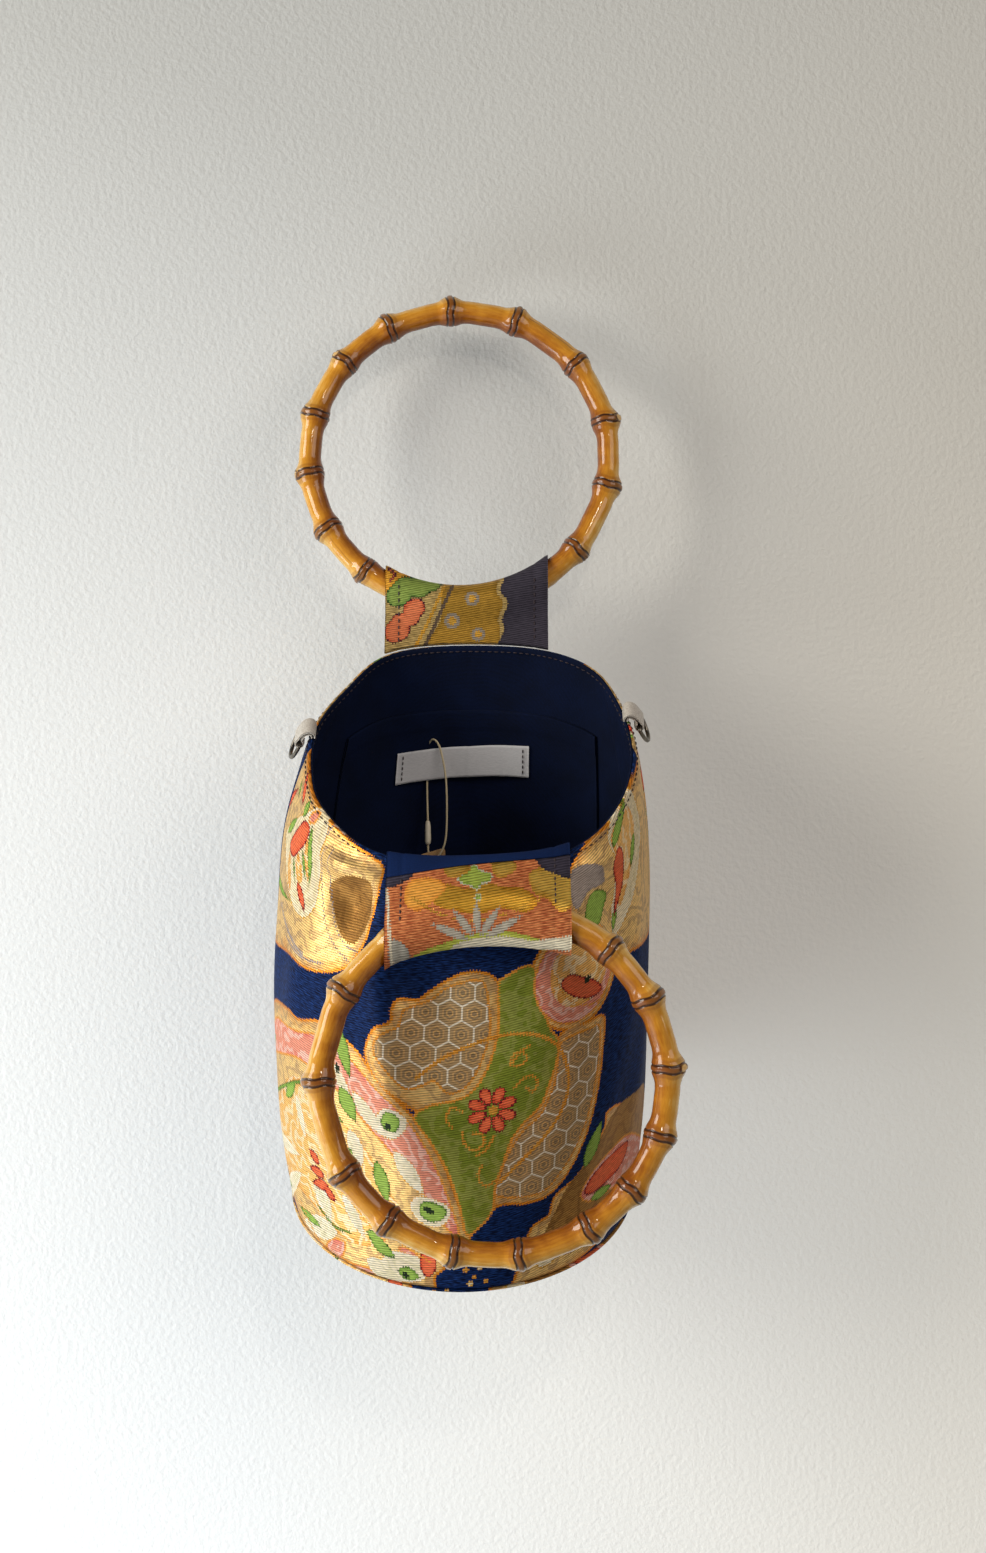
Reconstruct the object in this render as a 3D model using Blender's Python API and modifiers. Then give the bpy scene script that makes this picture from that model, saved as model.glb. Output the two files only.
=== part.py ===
"""Small brocade bucket bag with two bamboo ring handles, hanging by its rear ring.

Metres, +Z up, +X to the right and +Y towards the wall that the bag hangs against. The origin is the
hang point: the top of the hole in the rear ring, where a hook carries the bag.
"""

import math

import bmesh
import bpy
from mathutils import Matrix, Vector

GAP = 0.0003  # clearance between pieces that touch on the real bag
SIDE_SEAM_GAP = 0.00042  # clearance between the front and the back panel at each side seam
SEAM_GAP = 0.0007  # clearance at a seam whose two cloths meet at an angle
TAB_GAP = 0.0010  # clearance from the mouth's edge to the middle of a tab's sewn end
PATCH_GAP = 0.0006  # clearance under a patch whose folds fall between those of the cloth below

# Bamboo rings. Joint places are degrees clockwise from the top of each ring.
RING_RADIUS = 0.069
CANE_RADIUS = 0.0056
JOINT_SWELL = 0.0009
JOINT_SPREAD = math.radians(3.2)
STEPS_PER_INTERNODE = 6
CANE_SIDES_RESOLUTION = 2
REAR_RING_LEAN = math.radians(8.0)
REAR_JOINTS = (-3.5, 22.3, 51.3, 76.5, 101.9, 129.6, 152.0, 174.0, 196.0, 218.1, 239.9, 262.7, 286.1, 309.6, 331.8)
FRONT_JOINTS = (16.0, 41.2, 61.8, 85.4, 108.1, 128.2, 147.0, 171.6, 193.5, 217.2, 238.5, 270.0, 301.1, 326.0, 351.0)

# Body of the bag as it hangs: a mouth and a base, each a loop in its own sloping plane. The mouth
# hangs from the rear ring's lowest point, and the base from the mouth.
MOUTH_FROM_REAR_RING = Vector((0.0065, -0.06241, -0.06716))
MOUTH_HALF_WIDTH = 0.0700
MOUTH_HALF_DEPTH = 0.0835
MOUTH_FLAT = 0.0765  # the tabs pull the loop straight at this half depth
MOUTH_FLAT_POWER = 9.0
MOUTH_FLAT_REACH_SHARE = 0.625  # how far down the wall the straight front eases into the round base
MOUTH_SLOPE = math.radians(40.0)
BASE_FROM_MOUTH = Vector((-0.0045, 0.0328, -0.1907))
BASE_RADIUS = 0.0755
BASE_SLOPE = math.radians(26.2)
SIDE_BULGE = 0.0092
SIDEWAYS_SAG = -0.0022
FRONT_BULGE = 0.0035
BULGE_SKEW = 0.85
NORMAL_STEP = 0.01  # share of a turn or a drop over which a surface's direction is read

# Cloth
OUTER_CLOTH = 0.0012
LINING_CLOTH = 0.0007
PANEL_COLUMNS = 18
PANEL_ROWS = 10
BASE_SEGMENTS = 40

# Patch pocket on the back lining, and the woven label sewn to its face
POCKET_HALF_ANGLE = math.radians(50.0)
POCKET_TOP_SHARE = 0.145
POCKET_BOTTOM_SHARE = 0.65
POCKET_SLACK = 0.0020
POCKET_SLACK_SHARE = 0.2
POCKET_COLUMNS = 10
POCKET_ROWS = 5
LABEL_CENTRE_ANGLE = math.radians(181.5)
LABEL_WIDTH = 0.0620
LABEL_HEIGHT = 0.0150
LABEL_TOP_SHARE = 0.225
LABEL_CLOTH = 0.0004
LABEL_LIFT = 0.0024
LABEL_LIFT_POWER = 0.7
LABEL_COLUMNS = 12

# Cloth tabs that carry the rings
TAB_WIDTH = 0.0740
TAB_CLOTH = 0.0011
TAB_COLUMNS = 8
TAB_LINE_STEPS = 10
TAB_FOLD_STEPS = 8
REAR_TAB_X = 0.0035
FRONT_TAB_X = 0.0095
FRONT_TAB_RISE = 0.0100
FRONT_TAB_HANG_SHARE = 0.62  # how straight down the front tab comes to its ring
REAR_TAB_RISE = 0.0060
FRONT_FOLD_SLACK = 0.0075
FRONT_FOLD_LEVEL_SHARE = 0.55  # how far the front fold stays level instead of following the ring
TAB_OPENING = 0.0170

# Top of the front ring, from the middle of the mouth's front edge
FRONT_RING_FROM_EDGE = Vector((0.0094, -0.0118, -0.0174))

# Side tabs of leather with their D rings
SIDE_TAB_WIDTH = 0.0100
SIDE_TAB_LEATHER = 0.0010
SIDE_TAB_COLUMNS = 3
SIDE_TAB_RISE = 0.0050
SIDE_TAB_OPENING = 0.0030
SIDE_TAB_REACH = 0.0062
SIDE_TAB_DROP = 0.0034
SIDE_TAB_ANGLES = {"left": math.radians(-97.0), "right": math.radians(105.0)}
D_WIRE_RADIUS = 0.0009
D_BAR_LENGTH = 0.0135
D_DEPTH = 0.0104
D_LEAN = math.radians(26.0)
D_ARC_POINTS = 12
D_ROUNDNESS = 0.8
D_SIDES_RESOLUTION = 1

# Hang tag: a looped string closed by a small plug-in joint, and a blank card on it
STRING_DIAMETER = 0.0010
STRING_SAMPLES = 60
STRING_ROUTE = (
    (-0.0143, -0.0166, -0.2421),
    (-0.0142, -0.0166, -0.2444),
    (-0.0135, -0.0168, -0.2466),
    (-0.0120, -0.0182, -0.2480),
    (-0.0100, -0.0200, -0.2474),
    (-0.0080, -0.0206, -0.2448),
    (-0.0064, -0.0207, -0.2405),
    (-0.0057, -0.0207, -0.2340),
    (-0.0056, -0.0207, -0.2250),
    (-0.0058, -0.0207, -0.2150),
    (-0.0066, -0.0207, -0.2070),
    (-0.0082, -0.0209, -0.2000),
    (-0.0098, -0.0214, -0.1950),
    (-0.0112, -0.0206, -0.1925),
    (-0.0126, -0.0192, -0.1935),
    (-0.0138, -0.0181, -0.1975),
    (-0.0145, -0.0157, -0.2050),
    (-0.0147, -0.0140, -0.2100),
    (-0.0148, -0.0136, -0.2125),
    (-0.0148, -0.0139, -0.2170),
    (-0.0146, -0.0149, -0.2240),
    (-0.0144, -0.0158, -0.2304),
)
ROUTE_STEPS = 10
STRING_SIDES_RESOLUTION = 2
EYELET_POINT = 3
STRING_JOINT_RADIUS = 0.0014
STRING_JOINT_TAPER = 0.75
STRING_JOINT_BEVEL = 0.0005
STRING_JOINT_SIDES = 10
TAG_WIDTH = 0.0160
TAG_LENGTH = 0.0240
TAG_THICKNESS = 0.0005
TAG_HOLE_RADIUS = 0.0013
TAG_HOLE_INSET = 0.0035
TAG_HOLE_SIDES = 16
TAG_CUTTER_LENGTH = 0.004
TAG_LEAN = 0.25

PIVOT_SIZE = 0.01
SHARP_ANGLE = math.radians(50.0)


def smoothstep(value):
    """Ease a value from 0 to 1 without a corner at either end."""
    held = min(max(value, 0.0), 1.0)
    return held * held * (3.0 - 2.0 * held)


def mix(first, second, share):
    """Go from one value or point to another."""
    return first + (second - first) * share


def clear_scene():
    """Remove what a new file starts with."""
    for item in list(bpy.data.objects):
        bpy.data.objects.remove(item, do_unlink=True)


def new_collection(name):
    """Add a collection to the scene."""
    collection = bpy.data.collections.new(name)
    bpy.context.scene.collection.children.link(collection)
    return collection


def new_material(name, colour, roughness, metallic=0.0):
    """Make a Principled material."""
    material = bpy.data.materials.new(name)
    material.use_nodes = True
    shader = material.node_tree.nodes["Principled BSDF"]
    shader.inputs["Base Color"].default_value = (*colour, 1.0)
    shader.inputs["Roughness"].default_value = roughness
    shader.inputs["Metallic"].default_value = metallic
    return material


class Assembly:
    """The collection of the bag's pieces, with an empty on the axis of each moving body."""

    def __init__(self, name):
        self.collection = new_collection(name)
        self.cutters = new_collection("cutters")

    def pivot(self, name, place):
        """Add an empty on a joint's axis."""
        empty = bpy.data.objects.new(name, None)
        empty.empty_display_size = PIVOT_SIZE
        empty.location = place
        self.collection.objects.link(empty)
        return empty

    def add(self, name, data, material, pivot=None):
        """Link a piece, dress it and parent it to the empty of its body."""
        piece = bpy.data.objects.new(name, data)
        data.materials.append(material)
        self.collection.objects.link(piece)
        if pivot is not None:
            piece.parent = pivot
            piece.matrix_parent_inverse = Matrix.Translation(pivot.location).inverted()
        return piece


def grid_mesh(name, rows):
    """Make an open sheet from rows of points."""
    mesh = bpy.data.meshes.new(name)
    columns = len(rows[0])
    points = [point for row in rows for point in row]
    faces = [
        (i * columns + j, i * columns + j + 1, (i + 1) * columns + j + 1, (i + 1) * columns + j)
        for i in range(len(rows) - 1)
        for j in range(columns - 1)
    ]
    mesh.from_pydata(points, [], faces)
    mesh.shade_smooth()
    mesh.set_sharp_from_angle(angle=SHARP_ANGLE)
    return mesh


def thicken(piece, thickness, offset):
    """Give a sheet its thickness: offset -1 goes inwards, 0 to both sides."""
    solidify = piece.modifiers.new("thickness", "SOLIDIFY")
    solidify.thickness = thickness
    solidify.offset = offset
    solidify.use_even_offset = True
    solidify.use_quality_normals = True


def tube_curve(name, points, radii, wire_radius, resolution, closed):
    """Make a round tube along points, whose radius may change from point to point."""
    curve = bpy.data.curves.new(name, "CURVE")
    curve.dimensions = "3D"
    curve.bevel_depth = wire_radius
    curve.bevel_resolution = resolution
    curve.use_fill_caps = not closed
    spline = curve.splines.new("POLY")
    spline.points.add(len(points) - 1)
    spline.use_cyclic_u = closed
    for knot, point, radius in zip(spline.points, points, radii):
        knot.co = (*point, 1.0)
        knot.radius = radius
    return curve


def smooth_route(route, count):
    """Read evenly spaced points from a smooth curve through the route's own points."""
    padded = [route[0] * 2 - route[1], *route, route[-1] * 2 - route[-2]]
    fine = []
    for before, start, end, after in zip(padded, padded[1:], padded[2:], padded[3:]):
        for step in range(ROUTE_STEPS):
            t = step / ROUTE_STEPS
            fine.append(
                0.5
                * (
                    2 * start
                    + (end - before) * t
                    + (2 * before - 5 * start + 4 * end - after) * t * t
                    + (3 * start - before - 3 * end + after) * t * t * t
                )
            )
    fine.append(route[-1])
    travelled = [0.0]
    for first, second in zip(fine, fine[1:]):
        travelled.append(travelled[-1] + (second - first).length)
    even = []
    index = 0
    for step in range(count):
        target = travelled[-1] * step / (count - 1)
        while index < len(fine) - 2 and travelled[index + 1] < target:
            index += 1
        span = travelled[index + 1] - travelled[index]
        even.append(mix(fine[index], fine[index + 1], (target - travelled[index]) / span))
    return even


def joint_swell(angle, joints):
    """Say how far the cane swells at an angle, as a share of the swell at a joint."""
    nearest = min(abs((angle - joint + math.pi) % math.tau - math.pi) for joint in joints)
    return math.exp(-((nearest / JOINT_SPREAD) ** 2))


def cane_radius(angle, joints):
    """Give the cane's radius at an angle round a ring."""
    return CANE_RADIUS + JOINT_SWELL * joint_swell(angle, joints)


def ring_angles(joints):
    """List the angles of a ring's points, with one on each joint."""
    angles = []
    for start, end in zip(joints, (*joints[1:], joints[0] + math.tau)):
        angles += [mix(start, end, step / STEPS_PER_INTERNODE) for step in range(STEPS_PER_INTERNODE)]
    return angles


class Ring:
    """A bamboo ring: its centre, the direction of its top, and the joints of its cane."""

    def __init__(self, centre, top_direction, joint_degrees):
        self.centre = centre
        self.top_direction = top_direction
        self.joints = [math.radians(degrees) for degrees in joint_degrees]

    def point(self, angle):
        """Give the cane's centre at an angle clockwise from the top."""
        across = Vector((math.sin(angle), 0.0, 0.0))
        return self.centre + RING_RADIUS * (across + math.cos(angle) * self.top_direction)

    def point_at(self, x, top):
        """Give the cane's centre over an X, on the ring's top arc or on its bottom one."""
        angle = math.asin((x - self.centre.x) / RING_RADIUS)
        return self.point(angle if top else math.pi - angle)

    def hinge(self, top):
        """Give the middle of the axis on which the cane turns in its tab, at the arc's mean height."""
        crown = self.point_at(self.centre.x, top)
        end = self.point_at(self.centre.x + TAB_WIDTH / 2, top)
        return Vector((crown.x, (crown.y + end.y) / 2, (crown.z + end.z) / 2))

    def curve(self, name):
        """Make the ring's solid."""
        angles = ring_angles(self.joints)
        points = [self.point(angle) for angle in angles]
        radii = [cane_radius(angle, self.joints) / CANE_RADIUS for angle in angles]
        return tube_curve(name, points, radii, CANE_RADIUS, CANE_SIDES_RESOLUTION, closed=True)


def make_rear_ring():
    """Place the rear ring with the top of its hole on the hang point."""
    top = Vector((0.0, math.sin(REAR_RING_LEAN), math.cos(REAR_RING_LEAN)))
    joints = [math.radians(degrees) for degrees in REAR_JOINTS]
    hang_to_centre = RING_RADIUS - cane_radius(0.0, joints)
    return Ring(-hang_to_centre * top, top, REAR_JOINTS)


REAR_RING = make_rear_ring()
MOUTH_CENTRE = REAR_RING.point(math.pi) + MOUTH_FROM_REAR_RING
BASE_CENTRE = MOUTH_CENTRE + BASE_FROM_MOUTH


def loop_axes(slope):
    """Give the forward direction in a sloping loop's plane and the plane's upward normal."""
    forward = Vector((0.0, -math.cos(slope), -math.sin(slope)))
    normal = Vector((0.0, -math.sin(slope), math.cos(slope)))
    return forward, normal


def flattened(depth, limit):
    """Hold a depth just inside a limit, with a soft corner."""
    return depth / (1.0 + (abs(depth) / limit) ** MOUTH_FLAT_POWER) ** (1.0 / MOUTH_FLAT_POWER)


def body_point(drop, angle):
    """Give a point on the outside of the body.

    drop goes from 0 at the mouth to 1 at the base, and angle is 0 at the front and 90 degrees at +X.
    """
    bulge = math.sin(math.pi * min(max(drop, 0.0), 1.0) ** BULGE_SKEW)
    centre = mix(MOUTH_CENTRE, BASE_CENTRE, drop) + Vector((SIDEWAYS_SAG * bulge, 0.0, 0.0))
    forward, _ = loop_axes(mix(MOUTH_SLOPE, BASE_SLOPE, drop))
    half_width = mix(MOUTH_HALF_WIDTH, BASE_RADIUS, drop) + SIDE_BULGE * bulge
    mouth_depth = flattened(MOUTH_HALF_DEPTH * math.cos(angle), MOUTH_FLAT)
    base_depth = BASE_RADIUS * math.cos(angle)
    share = smoothstep(drop / MOUTH_FLAT_REACH_SHARE)
    depth = mix(mouth_depth, base_depth, share) + FRONT_BULGE * bulge * math.cos(angle)
    return centre + Vector((half_width * math.sin(angle), 0.0, 0.0)) + forward * depth


def body_normal(drop, angle):
    """Give the outward direction of the body's surface at a point."""
    along = body_point(drop + NORMAL_STEP, angle) - body_point(drop - NORMAL_STEP, angle)
    round_body = body_point(drop, angle + NORMAL_STEP) - body_point(drop, angle - NORMAL_STEP)
    return along.cross(round_body).normalized()


def make_front_ring():
    """Hang the front ring from the mouth's front edge."""
    vertical = Vector((0.0, 0.0, 1.0))
    top = body_point(0.0, 0.0) + FRONT_RING_FROM_EDGE
    return Ring(top - RING_RADIUS * vertical, vertical, FRONT_JOINTS)


def inset_point(drop, angle, inset):
    """Give a point a stated distance inside the body's surface."""
    return body_point(drop, angle) - body_normal(drop, angle) * inset


def wall_rows(top, bottom, first, last, rows, columns, inset):
    """List the points of a stretch of the body's wall, at a depth given as a function of its place."""
    return [
        [
            inset_point(drop, angle, inset(drop, angle))
            for angle in (mix(first, last, j / columns) for j in range(columns + 1))
        ]
        for drop in (mix(top, bottom, i / rows) for i in range(rows + 1))
    ]


def panel_angles(facing):
    """Give a panel's first and last angle, clear of the other panel at both side seams."""
    clearance = SIDE_SEAM_GAP / (2.0 * BASE_RADIUS)
    middle = 0.0 if facing == "front" else math.pi
    return middle - math.pi / 2 + clearance, middle + math.pi / 2 - clearance


def add_shell(assembly, pivot, brocade, lining):
    """Build the outer bag and its lining: a front, a back and a base each."""
    base_forward, base_normal = loop_axes(BASE_SLOPE)
    lining_inset = OUTER_CLOTH + GAP
    wall_length = (MOUTH_CENTRE - BASE_CENTRE).length
    lining_bottom = 1.0 - (LINING_CLOTH + SEAM_GAP) / wall_length
    for facing in ("front", "back"):
        first, last = panel_angles(facing)
        rows = wall_rows(0.0, 1.0, first, last, PANEL_ROWS, PANEL_COLUMNS, lambda drop, angle: 0.0)
        outer = assembly.add(f"outer_{facing}_panel", grid_mesh("outer_" + facing, rows), brocade, pivot)
        thicken(outer, OUTER_CLOTH, -1.0)
        rows = wall_rows(
            0.0, lining_bottom, first, last, PANEL_ROWS, PANEL_COLUMNS, lambda drop, angle: lining_inset
        )
        inner = assembly.add(f"lining_{facing}_panel", grid_mesh("lining_" + facing, rows), lining, pivot)
        thicken(inner, LINING_CLOTH, -1.0)
    outer_top = -SEAM_GAP
    lining_radius = BASE_RADIUS - OUTER_CLOTH - SEAM_GAP
    discs = (
        ("outer_base", BASE_RADIUS, OUTER_CLOTH, outer_top - OUTER_CLOTH / 2, brocade),
        ("lining_base", lining_radius, LINING_CLOTH, outer_top + GAP + LINING_CLOTH / 2, lining),
    )
    turn = Matrix((Vector((1.0, 0.0, 0.0)), -base_forward, base_normal)).transposed().to_4x4()
    for name, radius, thickness, height, material in discs:
        mesh = bpy.data.meshes.new(name)
        shape = bmesh.new()
        bmesh.ops.create_cone(
            shape, cap_ends=True, segments=BASE_SEGMENTS, radius1=radius, radius2=radius, depth=thickness
        )
        shape.to_mesh(mesh)
        shape.free()
        disc = assembly.add(name, mesh, material, pivot)
        disc.matrix_basis = Matrix.Translation(BASE_CENTRE + base_normal * height) @ turn


def pocket_inset(drop, angle):
    """Give the pocket cloth's depth inside the body's surface: its top edge stands off the lining."""
    slack = POCKET_SLACK * (1.0 - smoothstep((drop - POCKET_TOP_SHARE) / POCKET_SLACK_SHARE))
    across = math.cos((angle - math.pi) / POCKET_HALF_ANGLE * math.pi / 2)
    return OUTER_CLOTH + GAP + LINING_CLOTH + PATCH_GAP + slack * max(across, 0.0)


def add_pocket(assembly, pivot, lining):
    """Build the patch pocket on the back lining."""
    first, last = math.pi - POCKET_HALF_ANGLE, math.pi + POCKET_HALF_ANGLE
    rows = wall_rows(
        POCKET_TOP_SHARE, POCKET_BOTTOM_SHARE, first, last, POCKET_ROWS, POCKET_COLUMNS, pocket_inset
    )
    pocket = assembly.add("inner_pocket", grid_mesh("pocket", rows), lining, pivot)
    thicken(pocket, LINING_CLOTH, -1.0)


def label_inset(drop, angle, share):
    """Give the label's depth inside the body's surface: it lifts off the pocket between its ends."""
    lift = LABEL_LIFT * math.sin(math.pi * share) ** LABEL_LIFT_POWER if 0.0 < share < 1.0 else 0.0
    return pocket_inset(drop, angle) + LINING_CLOTH + PATCH_GAP + lift


def add_label(assembly, pivot, woven):
    """Build the woven label on the pocket's face."""
    wall_length = (body_point(1.0, math.pi) - body_point(0.0, math.pi)).length
    half_angle = LABEL_WIDTH / 2 / BASE_RADIUS
    drops = (LABEL_TOP_SHARE, LABEL_TOP_SHARE + LABEL_HEIGHT / wall_length)
    rows = []
    for drop in drops:
        row = []
        for j in range(LABEL_COLUMNS + 1):
            share = j / LABEL_COLUMNS
            angle = LABEL_CENTRE_ANGLE + half_angle * (2.0 * share - 1.0)
            row.append(inset_point(drop, angle, label_inset(drop, angle, share)))
        rows.append(row)
    label = assembly.add("woven_label", grid_mesh("label", rows), woven, pivot)
    thicken(label, LABEL_CLOTH, -1.0)


def bezier(first, second, third, fourth, share):
    """Read a point from a cubic curve."""
    left = 1.0 - share
    return (
        first * left**3
        + second * (3 * left**2 * share)
        + third * (3 * left * share**2)
        + fourth * share**3
    )


def loop_section(start, leave, held, arrive, opening, cloth, clear_radius, fold_reach):
    """List a section of a strap folded round a bar and sewn together again at its start.

    start is where both ends are sewn, leave the direction in which they set off and held the bar's
    centre. arrive is the direction in which they meet it, opening the length over which they part,
    clear_radius the half gap at the bar and fold_reach how far past its centre the fold goes.
    """
    line = [
        bezier(start, start + leave, held - arrive, held, step / TAB_LINE_STEPS)
        for step in range(TAB_LINE_STEPS + 1)
    ]
    closed_half = (cloth + GAP) / 2
    open_half = clear_radius + cloth / 2
    side = {1: [], -1: []}
    for index, point in enumerate(line):
        before = line[max(index - 1, 0)]
        after = line[min(index + 1, len(line) - 1)]
        heading = (after - before).normalized()
        across = Vector((heading.y, -heading.x))
        left = sum((b - a).length for a, b in zip(line[index:], line[index + 1 :]))
        half = mix(closed_half, open_half, smoothstep(1.0 - left / opening))
        for sign in side:
            side[sign].append(point + across * half * sign)
    heading = arrive.normalized()
    across = Vector((heading.y, -heading.x))
    fold = []
    for step in range(1, TAB_FOLD_STEPS):
        turn = math.pi * step / TAB_FOLD_STEPS
        fold.append(held + across * open_half * math.cos(turn) + heading * fold_reach * math.sin(turn))
    return side[1] + fold + side[-1][::-1]


def mouth_angle_at(x, is_front):
    """Find the angle at which the mouth's edge is over an X, in the front or the back half."""
    front_angle = math.asin((x - MOUTH_CENTRE.x) / MOUTH_HALF_WIDTH)
    return front_angle if is_front else math.pi - front_angle


def add_ring_tab(assembly, pivot, name, brocade, ring, centre_x, facing):
    """Build the wide cloth tab that carries a ring, from the mouth's edge round the cane."""
    is_front = facing == "front"
    clear_radius = CANE_RADIUS + JOINT_SWELL + GAP
    edge_depth = (OUTER_CLOTH + GAP + LINING_CLOTH) / 2
    rows = []
    for step in range(TAB_COLUMNS + 1):
        x = centre_x + TAB_WIDTH * (step / TAB_COLUMNS - 0.5)
        angle = mouth_angle_at(x, is_front)
        edge = inset_point(0.0, angle, edge_depth)
        cane = ring.point_at(x, top=is_front)
        stretch = 1.0 / math.cos(math.asin((x - ring.centre.x) / RING_RADIUS))
        tight_reach = clear_radius * stretch + TAB_CLOTH / 2
        start = Vector((edge.y, edge.z + TAB_GAP))
        held = Vector((cane.y, cane.z))
        if is_front:
            leave = Vector((0.0, FRONT_TAB_RISE))
            arrive = Vector((0.0, -(FRONT_TAB_RISE + start.y - held.y) * FRONT_TAB_HANG_SHARE))
            crown = ring.point_at(ring.centre.x, top=True).z - cane.z
            reach = tight_reach + max(FRONT_FOLD_SLACK - crown * FRONT_FOLD_LEVEL_SHARE, 0.0)
        else:
            arrive = (held - start).normalized() * REAR_TAB_RISE
            leave = arrive
            reach = tight_reach
        opening = TAB_OPENING * stretch
        section = loop_section(start, leave, held, arrive, opening, TAB_CLOTH, clear_radius, reach)
        rows.append([Vector((x, point.x, point.y)) for point in section])
    tab = assembly.add(name, grid_mesh(name, rows), brocade, pivot)
    thicken(tab, TAB_CLOTH, 0.0)


class SideTab:
    """Places of a side tab and its D ring, on one side of the mouth."""

    def __init__(self, angle):
        self.out = Vector((math.copysign(1.0, angle), 0.0, 0.0))
        forward, normal = loop_axes(MOUTH_SLOPE)
        self.along = forward
        self.up = normal
        edge_depth = (OUTER_CLOTH + GAP + LINING_CLOTH) / 2
        self.edge = inset_point(0.0, angle, edge_depth) + self.up * TAB_GAP
        self.bar = self.edge + self.out * SIDE_TAB_REACH - self.up * SIDE_TAB_DROP

    def add_tab(self, assembly, pivot, name, leather):
        """Build the leather strip folded over the D ring's bar."""
        start = Vector((0.0, 0.0))
        held = Vector((SIDE_TAB_REACH, -SIDE_TAB_DROP))
        clear_radius = D_WIRE_RADIUS + GAP
        section = loop_section(
            start,
            Vector((0.0, SIDE_TAB_RISE)),
            held,
            Vector((0.0, -SIDE_TAB_RISE)),
            SIDE_TAB_OPENING,
            SIDE_TAB_LEATHER,
            clear_radius,
            clear_radius + SIDE_TAB_LEATHER / 2,
        )
        rows = []
        for step in range(SIDE_TAB_COLUMNS + 1):
            shift = SIDE_TAB_WIDTH * (step / SIDE_TAB_COLUMNS - 0.5)
            base = self.edge + self.along * shift
            rows.append([base + self.out * point.x + self.up * point.y for point in section])
        tab = assembly.add(name, grid_mesh(name, rows), leather, pivot)
        thicken(tab, SIDE_TAB_LEATHER, 0.0)

    def add_d_ring(self, assembly, pivot, name, nickel):
        """Build the D ring, with its bar through the leather strip."""
        half_bar = D_BAR_LENGTH / 2
        outline = [(half_bar * share, 0.0) for share in (-0.5, 0.0, 0.5)]
        for step in range(D_ARC_POINTS + 1):
            turn = math.pi * step / D_ARC_POINTS
            outline.append((half_bar * math.cos(turn), -D_DEPTH * math.sin(turn) ** D_ROUNDNESS))
        hang = self.up * math.cos(D_LEAN) - self.out * math.sin(D_LEAN)
        points = [self.bar + self.along * a + hang * b for a, b in outline]
        radii = [1.0] * len(points)
        curve = tube_curve(name, points, radii, D_WIRE_RADIUS, D_SIDES_RESOLUTION, closed=True)
        assembly.add(name, curve, nickel, pivot)


def add_hang_tag(assembly, pivot, cotton, plastic, card):
    """Build the looped string, the joint that closes it and the blank card."""
    route = [Vector(point) for point in STRING_ROUTE]
    points = smooth_route(route, STRING_SAMPLES)
    radii = [1.0] * len(points)
    string = tube_curve(
        "tag_string", points, radii, STRING_DIAMETER / 2, STRING_SIDES_RESOLUTION, closed=False
    )
    assembly.add("tag_string", string, cotton, pivot)

    top, bottom = points[-1], points[0]
    axis = (top - bottom).normalized()
    length = (top - bottom).length - 2 * GAP
    mesh = bpy.data.meshes.new("string_joint")
    shape = bmesh.new()
    bmesh.ops.create_cone(
        shape,
        cap_ends=True,
        segments=STRING_JOINT_SIDES,
        radius1=STRING_JOINT_RADIUS,
        radius2=STRING_JOINT_RADIUS * STRING_JOINT_TAPER,
        depth=length,
    )
    shape.to_mesh(mesh)
    shape.free()
    joint = assembly.add("string_joint", mesh, plastic, pivot)
    turn = Vector((0.0, 0.0, 1.0)).rotation_difference(axis).to_matrix().to_4x4()
    joint.matrix_basis = Matrix.Translation((top + bottom) / 2) @ turn
    bevel = joint.modifiers.new("soft_ends", "BEVEL")
    bevel.width = STRING_JOINT_BEVEL
    bevel.segments = 2

    eyelet = route[EYELET_POINT]
    tangent = (route[EYELET_POINT + 1] - route[EYELET_POINT - 1]).normalized()
    down = Vector((TAG_LEAN, 0.0, -1.0))
    down = (down - tangent * down.dot(tangent)).normalized()
    side = down.cross(tangent).normalized()
    frame = Matrix((side, down, side.cross(down))).transposed().to_4x4()
    place = Matrix.Translation(eyelet)
    mesh = bpy.data.meshes.new("hang_tag")
    shape = bmesh.new()
    bmesh.ops.create_cube(shape, size=1.0)
    centre = Matrix.Translation((0.0, TAG_LENGTH / 2 - TAG_HOLE_INSET, 0.0))
    scale = Matrix.Diagonal((TAG_WIDTH, TAG_LENGTH, TAG_THICKNESS, 1.0))
    bmesh.ops.transform(shape, matrix=place @ frame @ centre @ scale, verts=shape.verts)
    shape.to_mesh(mesh)
    shape.free()
    tag = assembly.add("hang_tag", mesh, card, pivot)

    mesh = bpy.data.meshes.new("tag_hole_cutter")
    shape = bmesh.new()
    bmesh.ops.create_cone(
        shape,
        cap_ends=True,
        segments=TAG_HOLE_SIDES,
        radius1=TAG_HOLE_RADIUS,
        radius2=TAG_HOLE_RADIUS,
        depth=TAG_CUTTER_LENGTH,
    )
    bmesh.ops.transform(shape, matrix=place @ frame, verts=shape.verts)
    shape.to_mesh(mesh)
    shape.free()
    cutter = bpy.data.objects.new("tag_hole_cutter", mesh)
    assembly.cutters.objects.link(cutter)
    cutter.hide_render = True
    cutter.display_type = "WIRE"
    hole = tag.modifiers.new("hole", "BOOLEAN")
    hole.operation = "DIFFERENCE"
    hole.solver = "EXACT"
    hole.object = cutter


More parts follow.
